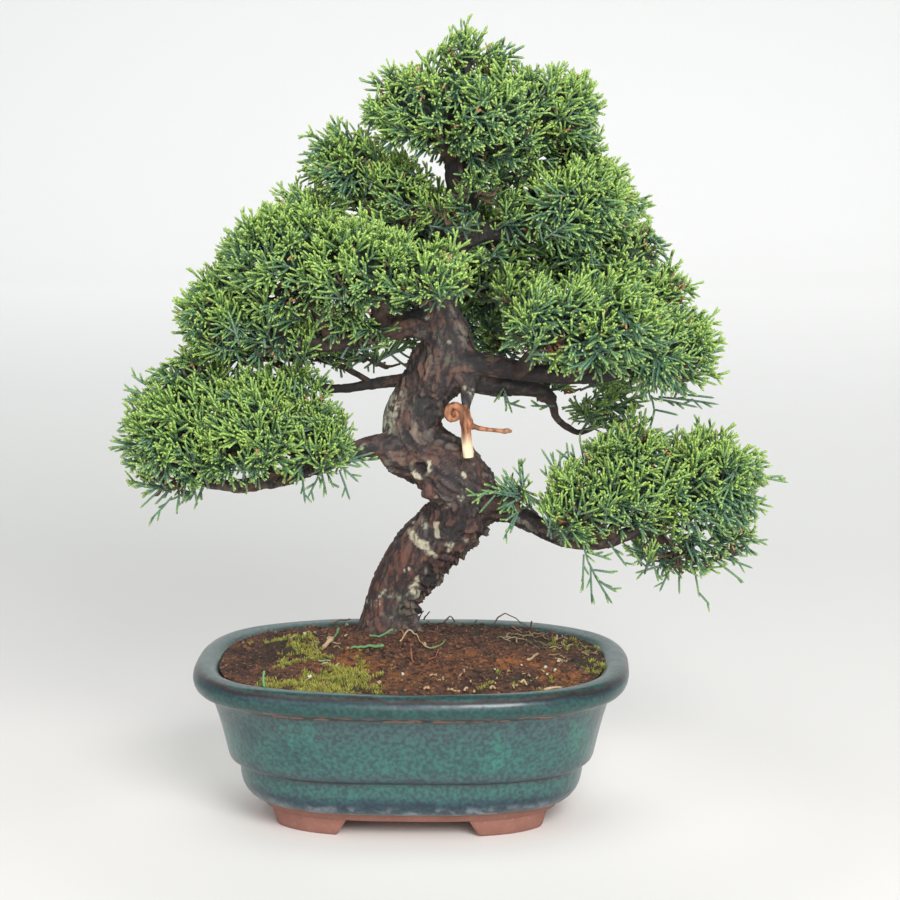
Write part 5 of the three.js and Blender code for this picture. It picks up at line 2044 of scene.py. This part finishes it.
@dataclass
class SprayMaker:
    """Makes kinds of spray: a short stem with forked side shoots, standing up from its root."""

    height: float = 16.0
    radius: float = 0.52
    side_shoots: int = 9
    forked: float = 0.68
    lowest: float = 0.2
    highest: float = 0.86
    widest: float = 50.0
    narrowest: float = 29.0
    rusty: float = 0.03
    sides: int = 4

    def shoot(self, start: Array, way: Array, bend: Array, length: float, radius: float,
              base: float, rust: float) -> Skin:
        """One blunt shoot.

        Args:
            start: Its root.
            way: The way that it sets off.
            bend: The way that it turns towards.
            length: Its length.
            radius: Its radius.
            base: How far up the spray it starts, from 0 to 1.
            rust: 1 on a shoot that has browned, or 0.

        Returns:
            The shoot, with "along" rising from base to 1 at its tip.
        """
        marks = np.array([0.0, 0.45, 0.9, 1.0]) if length > 5 else np.array([0.0, 0.85, 1.0])
        thick = np.array([0.9, 1.05, 0.92]) if length > 5 else np.array([0.95, 0.92])
        path = start + length * (marks[:, None] * way + 0.5 * marks[:, None] ** 2 * bend)
        _, across, other = carried_frames(path)
        turns = (np.arange(self.sides) + 0.5) / self.sides * 2 * math.pi
        rings = path[:-1, None] + (radius * thick)[:, None, None] * (
            across[:-1, None] * np.cos(turns)[None, :, None]
            + other[:-1, None] * np.sin(turns)[None, :, None])
        body = lofted(rings, closed_ends=False)
        last = len(body.points) - self.sides
        tip = last + self.sides
        faces = body.faces + [(last + j, last + (j + 1) % self.sides, tip) for j in range(self.sides)]
        faces.append(tuple(range(self.sides))[::-1])
        share = np.concatenate([np.repeat(marks[:-1], self.sides), [1.0]])
        values = {
            "along": base + (1 - base) * share, "run": share * length,
            "tip": rise(share * length, length - 2.2, length),
            "rust": np.full(len(share), rust)}
        return Skin(np.vstack([body.points, path[-1]]), faces, values)

    def fork(self, start: Array, way: Array, curl: Array, length: float, share: float,
             rng: np.random.Generator, rust: float) -> Skin:
        """A short shoot that leaves another one to its side.

        Args:
            start: The other shoot's root.
            way: The way that the other one sets off.
            curl: The way that it turns towards.
            length: The other one's length.
            share: How far along it the fork is.
            rng: Where the fork's chances come from.
            rust: As for a shoot.

        Returns:
            The fork.
        """
        side = np.cross(way, rng.standard_normal(3))
        side /= np.linalg.norm(side)
        twig = way * 0.8 + side * rng.uniform(0.5, 0.8) + curl * 0.6
        twig /= np.linalg.norm(twig)
        root = start + length * (share * way + 0.5 * share**2 * curl)
        reach = min(4.6, length * rng.uniform(0.42, 0.6))
        return self.shoot(root, twig, curl * 0.5, reach, self.radius * 0.92, 0.62, rust)

    def spray(self, seed: int) -> Skin:
        """One kind of spray.

        Args:
            seed: Sets its bend and its side shoots.

        Returns:
            The spray, standing along +Z from the origin.
        """
        rng = np.random.default_rng(seed)
        lean = np.array([*rng.uniform(-0.16, 0.16, 2), 1.0])
        bend = np.array([*rng.uniform(-0.42, 0.42, 2), 0.0])
        parts = [self.shoot(np.zeros(3), lean, bend, self.height, self.radius, 0.0, 0.0)]
        for i in range(self.side_shoots):
            t = self.lowest + (self.highest - self.lowest) * i / (self.side_shoots - 1)
            t += rng.uniform(-0.03, 0.03)
            turn = i * 2.4 + rng.uniform(-0.5, 0.5)
            spread = math.radians(self.widest + (self.narrowest - self.widest) * t + rng.uniform(-9, 9))
            out = np.array([math.cos(turn), math.sin(turn), 0])
            way = out * math.sin(spread) + UP * math.cos(spread)
            length = self.height * (0.64 - 0.34 * t) * rng.uniform(0.72, 1.28)
            start = self.height * (t * lean + 0.5 * t**2 * bend)
            rust = float(rng.uniform() < self.rusty)
            curl = UP * rng.uniform(0.1, 0.42) - out * 0.1
            parts.append(self.shoot(start, way, curl, length, self.radius * 0.96, 0.6 * t, rust))
            if rng.uniform() < self.forked:
                parts.append(self.fork(start, way, curl, length, rng.uniform(0.45, 0.7), rng, rust))
        return joined(parts)

    def loose(self, row: list[float], seed: int) -> Skin:
        """One long forked shoot from a root to a tip.

        Args:
            row: The root and the tip.
            seed: Sets its forks and its tint.

        Returns:
            The shoot, with a "tint" and a "lift" like a scattered spray's.
        """
        rng = np.random.default_rng(seed)
        root, tip = np.array(row[:3]), np.array(row[3:])
        length = float(np.linalg.norm(tip - root))
        way = (tip - root) / length
        sag = rng.uniform(-0.12, 0.12, 3)
        parts = [self.shoot(root, way - sag / 2, sag, length, self.radius, 0.15, 0.0)]
        for share in np.arange(0.3, 0.85, 3.2 / length):
            if rng.uniform() < self.forked:
                parts.append(self.fork(root, way - sag / 2, sag, length, share, rng, 0.0))
        skin = joined(parts)
        skin.values["tint"] = np.full(len(skin.points), rng.uniform(0.0, 0.4))
        # A middling lift, so the finish gives these shoots a little painted light.
        skin.values["lift"] = np.full(len(skin.points), 0.1)
        return skin


@dataclass
class Foliage:
    """The pads. Each is a group of rounded lobes: a middle, three radii and how thick its sprays are."""

    sprays: SprayMaker = field(default_factory=SprayMaker)
    kinds: int = 12
    spacing: float = 4.8
    outer: float = 4.6
    sink: float = 11.4
    pads: dict[str, Rows] = listed({
        "foliage_crown": [
            [17, -22, 262, 21, 24, 20, 1], [-8, -17, 266, 23, 26, 18, 1], [37.5, -8, 266, 20, 24, 17, 1],
            [11, 16, 258, 23, 22, 18, 1], [5, -11, 284, 9, 12, 15, 1], [45, 8, 249, 14, 17, 12, 1],
            [14, -12, 282, 10, 11, 9, 1], [-21, -14, 273, 9, 12, 9, 1], [10, -22, 238, 13, 9, 9, 0.6],
            [-6, -13, 276, 12, 12, 9, 1], [28, -10, 274, 10, 12, 9, 1], [2, -19, 228, 13, 7, 11, 0.6]],
        "foliage_shoulder": [
            [-38, -8, 245, 17, 20, 16, 1], [-21, -2, 237, 15, 18, 12, 1], [-19, -13, 229, 17, 14, 11, 0.9]],
        "foliage_shoulder_back": [[-30, 24, 236, 17, 18, 15, 1]],
        "foliage_left_main": [
            [-55.5, -27, 213, 26, 30, 21, 1], [-85, -20, 190, 16, 26, 18, 1], [-30, -44, 211, 26, 25, 18, 1],
            [-5, -49, 209, 18, 20, 13, 1], [-58, -30, 199, 20, 22, 10, 0.7], [-37, -30, 197, 15, 16, 9, 0.8],
            [-52, -10, 226, 15, 18, 13, 1], [-72, -22, 203, 16, 22, 14, 1],
            [-62, -24, 183, 23, 15, 9, 0.8], [-34, -24, 187, 19, 13, 8, 0.6]],
        "foliage_left_back": [
            [-60, 26, 174, 24, 22, 14, 0.8], [-82, 18, 176, 20, 20, 14, 1], [-32, 19, 171, 19, 12, 8, 0.45],
            [-12, 20, 176, 10, 10, 7, 0.4]],
        "foliage_right_upper": [
            [48, -17, 231, 21, 28, 18, 1], [66.5, -9, 212, 15, 24, 15, 1], [29, -8, 229, 14, 20, 13, 1],
            [44, 4, 208, 18, 16, 13, 0.8], [77, -12, 200, 13.5, 18, 12, 1], [27, -8, 242, 16, 15, 11, 0.9],
            [22, -4, 214, 16, 13, 14, 0.9], [60, -20, 209, 19, 18, 12, 1], [28, -12, 199, 14, 13, 12, 0.8]],
        "foliage_right_upper_back": [[53, 28, 228, 19, 20, 18, 1]],
        "foliage_right_main": [
            [56, -39, 190, 26, 28, 20, 1], [80, -18, 179, 19, 28, 20, 1], [36, -44, 191, 15, 20, 17, 1]],
        "foliage_right_back": [[59, 27, 152, 17, 20, 13, 0.6], [41, 12, 164, 16, 13, 9, 0.6]],
        "foliage_left_low": [
            [-100, -21, 144, 21, 28, 25, 1], [-74, -30, 149, 22, 27, 21, 1], [-51, -21, 144, 17, 22, 17, 1],
            [-94, -15, 161, 20, 20, 14, 1], [-66, -14, 160, 22, 16, 12, 0.9], [-105, -24, 132, 13, 16, 11, 1],
            [-60, -22, 134, 14, 14, 8, 0.6], [-97, -18, 171, 9, 14, 9, 0.8]],
        "foliage_right_low": [
            [94, -16, 127, 24, 30, 21, 1], [68, -23, 130, 22, 28, 21, 1], [87, -14, 105, 21, 24, 15, 0.6],
            [50, -30, 122, 17, 18, 18, 1], [103, -15, 108, 12, 14, 11, 0.8], [71, -21, 147, 7, 9, 8, 1]],
        "foliage_sprig": [[27, -17, 122, 7, 8, 6, 0.8]],
        "foliage_back": [
            [-1, 48, 191, 34, 26, 22, 1], [-3, 38, 218, 25, 22, 18, 1], [20, 24, 178, 14, 12, 12, 0.7],
            [10, 18, 202, 18, 13, 14, 0.8]],
    })
    loose: Rows = listed([
        [-102, -27.7, 124, -110.3, -27.9, 115.2], [-105.8, -27.8, 127, -113.9, -28, 119.6],
        [-99.3, -27.5, 125, -100.5, -27.5, 117.9], [-93.7, -27.3, 127, -92.7, -27.3, 120.6],
        [-74.8, -26.6, 132, -74.1, -26.6, 125.3], [-53.9, -25.9, 136, -52.7, -25.9, 121.3],
        [-46, -25.7, 136, -52, -25.8, 123.3], [-45, -25.6, 134, -42.1, -25.5, 127.3],
        [-46.8, -25.6, 134, -44.8, -25.6, 124.6], [-40, -25.4, 134, -36.2, -25.3, 122.6],
        [-40.7, -25.4, 137, -32.8, -25.2, 129.4], [-42, -25.3, 137.4, -32.1, -25.1, 135.1],
        [-40, -25.3, 137.1, -25, -24.9, 138.1], [-40.1, -25.3, 136.6, -26.8, -25, 140.8],
        [-77.2, -24.7, 158, -78.1, -24.7, 170.5], [-75.6, -24.7, 159, -75.2, -24.6, 171.8],
        [-71.4, -24.5, 156, -70.3, -24.5, 165.1], [-61.9, -24.1, 156, -59.1, -24.1, 167.8],
        [-57.8, -24, 156, -55.8, -24, 168.5], [-46, -23.6, 152.8, -38.7, -23.4, 157.1],
        [-47.5, -23.6, 153.8, -40.7, -23.4, 159.8], [-41.5, -23.4, 147, -34.5, -23.2, 150.1],
        [-114, -25.1, 142.8, -122.2, -25.3, 142.2], [-113.4, -25, 148.8, -122, -25.3, 147.6],
        [-112.7, -25, 150, -122.3, -25.3, 151.3], [-111.9, -25, 160, -120.5, -25.2, 160],
        [-111, -25, 161.8, -120.1, -25.2, 163.7], [-110.5, -24.9, 165, -116.7, -25.1, 169.3],
        [112, -12, 131, 126.8, -11.6, 127.8], [117, -11.8, 129.8, 125, -11.6, 130.4],
        [110, -12.1, 109, 119.5, -11.8, 103.9], [103, -12.3, 107, 111.8, -12.1, 101],
        [102, -12.3, 99.5, 114.2, -12, 95.1], [100, -12.4, 98, 110.9, -12.1, 89.5],
        [98.3, -12.5, 98, 109.8, -12.2, 100.7], [110, -12, 134, 118.9, -11.9, 136.2],
        [92, -12.8, 95, 94.1, -12.7, 83.9], [93.6, -12.7, 86.1, 98.1, -12.6, 81],
        [86.5, -13, 95, 86.6, -13, 85.1], [83.5, -13.1, 96, 79.1, -13.2, 86],
        [76.5, -13.3, 98.7, 78.8, -13.3, 89.8], [79, -13.3, 96, 69.8, -13.6, 93.3],
        [49.5, -26.3, 109, 52.5, -26.2, 98.9], [52.3, -26.2, 100, 55.3, -26.1, 93.7],
        [55.1, -26.1, 94.3, 61.4, -25.9, 84.1], [53, -26.2, 99, 53.7, -26.1, 83.8],
        [50.5, -26.3, 103, 50.3, -26.3, 89], [54.2, -26.1, 97.2, 62.1, -25.8, 96],
        [51.5, -26.2, 104, 60.9, -25.9, 100.9], [56.2, -26.1, 93.1, 63.1, -25.8, 88.7],
        [59.5, -25.9, 108, 66.6, -25.7, 98.3], [92.5, -12.8, 145, 93, -12.8, 153.2],
        [99, -12.6, 144, 96.5, -12.6, 151.8], [75.3, -9.4, 160, 76.7, -9.3, 153.5],
        [76.7, -9.3, 154.9, 74.5, -9.4, 146.2], [77, -9.3, 154.6, 85.5, -9, 152.6],
        [78, -9.2, 143.5, 84.2, -9.1, 147.6], [76, -9.3, 159, 92.9, -8.8, 155.5],
        [78, -9.2, 159.5, 100.9, -8.5, 156.6], [86, -12, 161, 99, -11, 159.5],
        [42.2, -16.6, 128.3, 34.4, -16.8, 141.1], [41.7, -16.6, 129.7, 37.7, -16.7, 139.9],
        [41.6, -16.6, 131, 41.6, -16.6, 139.5], [46.3, -16.5, 136, 39.8, -16.6, 140.8],
        [45.7, -16.4, 134, 43.8, -16.5, 142.7], [47.5, -16.4, 135, 45.8, -16.4, 143.1],
        [50.2, -16.3, 137, 48.5, -16.3, 145.4], [41, -16.6, 126.5, 33.9, -16.8, 133.5],
        [27, -22, 125, 15.6, -23.5, 125.5], [16.1, -23.5, 125.3, 6.9, -23.8, 124.4],
        [13.5, -23.6, 125, 8.7, -23.7, 121.4], [17.6, -23.5, 124.7, 11.6, -23.6, 117.7],
        [26, -22.1, 125.5, 20.1, -23.3, 134.9], [28.6, -22, 125, 27.2, -23.1, 138.7],
        [27.9, -22, 124.6, 26.1, -23.3, 138.2], [26, -22.2, 124.5, 19.7, -23.3, 132.4],
        [25, -22.2, 124, 17, -23.4, 131.9], [26, -22.2, 123.6, 13.4, -23.5, 129.2],
        [25, -23.2, 124, 12, -23.6, 126.6], [26.5, -22.1, 123.4, 19.5, -23.3, 118.6],
        [26.3, -21.1, 119, 20.6, -23.3, 107.6], [26.3, -22.1, 118.3, 23.1, -23.2, 109.9],
        [26.1, -22.1, 118.2, 21.1, -23.3, 114.7], [27, -22, 126, 35.4, -22.8, 119.6],
        [27, -22.1, 123.4, 17.9, -23.4, 119.1], [20.4, -5.3, 162, 16.5, -5.4, 156.2],
        [20.6, -5.3, 161, 23.6, -5.2, 152.1], [21.1, -5.3, 156.7, 28.8, -5, 154.3],
        [20.4, -5.3, 160, 21.5, -5.3, 153.5], [39.5, -4, 155, 30.1, -5, 155.2],
        [5, -12, 288, 4.4, -13, 299.5], [4.5, -13, 291, 1.6, -14, 297], [10, -12, 286, 12.2, -13, 294.5],
        [18, -12, 283, 23, -13, 291], [19, -13, 284, 20, -14, 292],
    ])

    def growing_skin(self, name: str, lobes: Rows) -> Skin:
        """The surface of one pad that its sprays stand on, just inside their tips.

        Args:
            name: The pad's name, which sets its unevenness.
            lobes: The pad's lobes.

        Returns:
            The surface, left out where another lobe covers it. Its sprays point away from a place low
            in each lobe and towards the trunk, as they do where they grow from the branch.
        """
        ways, faces = ball(4)
        rest = [lobe for key, other in self.pads.items() if key != name for lobe in other]
        skins = []
        for k, lobe in enumerate(lobes):
            centre, reach, thickness = np.array(lobe[:3]), np.array(lobe[3:6]), lobe[6]
            uneven = 1 + 0.08 * Grain.smooth(ways * reach / 8 + k * 7, 140 + len(name), 2)
            uneven += 0.09 * Grain.smooth(ways * reach / 19 + k * 7, 150 + len(name), 1)
            points = centre + ways * np.maximum(reach - self.outer, reach * 0.62) * uneven[:, None]
            hidden = np.zeros(len(points), bool)
            for other, share in [(o, 0.8) for o in lobes if o is not lobe] + [(o, 0.6) for o in rest]:
                away = (points - np.array(other[:3])) / (np.array(other[3:6]) * share)
                hidden |= np.linalg.norm(away, axis=1) < 1
            kept = [face for face in faces if not any(hidden[i] for i in face)]
            outward = centre * FLAT / max(20.0, math.hypot(*centre[:2]))
            root = centre - reach * (0.32 * outward + np.array([0, 0, 0.38]))
            ahead = self.growing_way(points, points - root, ways, outward)
            cover = thickness * (0.4 + 0.6 * rise(ways[:, 2], -0.95, -0.35))
            skins.append(Skin(points, kept, {"cover": cover, "ahead": ahead}))
        return joined(skins)

    @staticmethod
    def growing_way(
        points: Array, from_root: Array, ways: Array, outward: Array
    ) -> Array:
        """Which way the sprays point: out of the lobe, combed away from the trunk, in drifting locks.

        Args:
            points: Places on the lobe.
            from_root: The way to each from the lobe's root.
            ways: The way out of the lobe at each.
            outward: The way from the trunk to the lobe.

        Returns:
            One unit row a place.
        """
        spread = from_root / np.linalg.norm(from_root, axis=1, keepdims=True)
        facing = np.clip(0.55 + 0.6 * ways @ outward, 0.1, 1)[:, None]
        combed = np.array([*outward[:2], -0.12]) * facing
        locks = np.stack([Grain.smooth(points / 13, 160 + k, 2) for k in range(3)], axis=1)
        locks -= (locks * ways).sum(axis=1, keepdims=True) * ways
        rising = np.array([0, 0, 0.3]) * rise(ways[:, 2], -0.5, 0.4)[:, None]
        ahead = 0.45 * spread + 0.6 * combed + 0.95 * locks + 0.12 * ways + rising
        return ahead / np.linalg.norm(ahead, axis=1, keepdims=True)

    def heart(self, lobes: Rows, seed: int) -> list[Skin]:
        """A dark lump of painted shade inside each full lobe, and the twigs that run out from it.

        Args:
            lobes: The lobes of one pad.
            seed: Sets where the twigs run.

        Returns:
            One skin for each lump and twig.
        """
        ways, faces = ball(3)
        rng = np.random.default_rng(seed)
        skins = []
        for lobe in lobes:
            centre, reach, thickness = np.array(lobe[:3]), np.array(lobe[3:6]), lobe[6]
            if thickness > 0.75 and min(reach) > 11:
                # A lump of painted shade that fills the lobe's middle.
                lump = 0.46 + 0.12 * Grain.smooth(ways * reach / 4 + seed, 150, 3)
                shade = {"shade": np.ones(len(ways))}
                skins.append(Skin(centre + ways * reach * lump[:, None], faces, shade))
            for _ in range(int(1.2 * thickness * min(reach)) + 3):
                way = rng.standard_normal(3) * np.array([1, 1, 0.75]) + np.array([0, 0, -0.25])
                way /= np.linalg.norm(way)
                start = centre + way * reach * 0.2 + np.array([0, 0, -0.22 * reach[2]])
                end = centre + way * reach * rng.uniform(0.7, 0.86)
                knee = (start + end) / 2 + np.array([*rng.uniform(-2, 2, 2), -1.5])
                line = rounded_path(np.array([start, knee, end]), 3)
                skins.append(tube(line, np.linspace(0.75, 0.4, len(line)), 4))
        return skins

    def build(self, scatter: Scatter) -> None:
        """Makes each pad's sprays, the long loose shoots, and the twigs and lumps of painted shade inside
        them all.

        Args:
            scatter: The tree that places the sprays.
        """
        finish = FoliageFinish().material()
        kinds = kinds_of("spray_kinds", [self.sprays.spray(200 + i) for i in range(self.kinds)])
        shade_lumps_and_twigs: list[Skin] = []
        for i, (name, lobes) in enumerate(self.pads.items()):
            surface = self.growing_skin(name, lobes).moved(ORIGIN)
            pad = scatter.over(
                name.replace("foliage", "sprays"), surface, kinds, finish, seed=10 + i, spacing=self.spacing,
                thickest=160000.0, sink=self.sink, stray=0.55, least_size=0.78, most_size=1.06)
            placed(pad, Slot.FOLIAGE, name)
            if name != "foliage_sprig":
                shade_lumps_and_twigs += self.heart(lobes, 300 + i)
        drop_kinds(kinds)
        shoots = joined([self.sprays.loose(row, 400 + i) for i, row in enumerate(self.loose)])
        new_piece("loose_shoots", shoots, finish, Slot.FOLIAGE)
        new_piece("inner_twigs", joined(shade_lumps_and_twigs), TwigFinish().material(), Slot.BARK)


@dataclass
class DrainScreens:
    """The plastic mesh squares over the drain holes, kept as packed."""

    names: tuple[str, ...] = ("drain_screen_left", "drain_screen_right")

    def build(self) -> None:
        """Gives both their material."""
        material = ScreenFinish().material()
        for name in self.names:
            mesh = frame["nodes"][name].data
            mesh.materials.clear()
            mesh.materials.append(material)


def main() -> None:
    """Builds the studio, the pot, the soil, the wood and the foliage, in that order."""
    logging.basicConfig(level=logging.INFO, format="%(message)s")
    Studio().build()
    scatter = Scatter()
    Pot().build()
    DrainScreens().build()
    bed = SoilBed()
    bed.build(scatter)
    Litter(bed).build()
    Wood().build()
    Deadwood().build()
    Foliage().build(scatter)


if __name__ == "__main__":
    main()
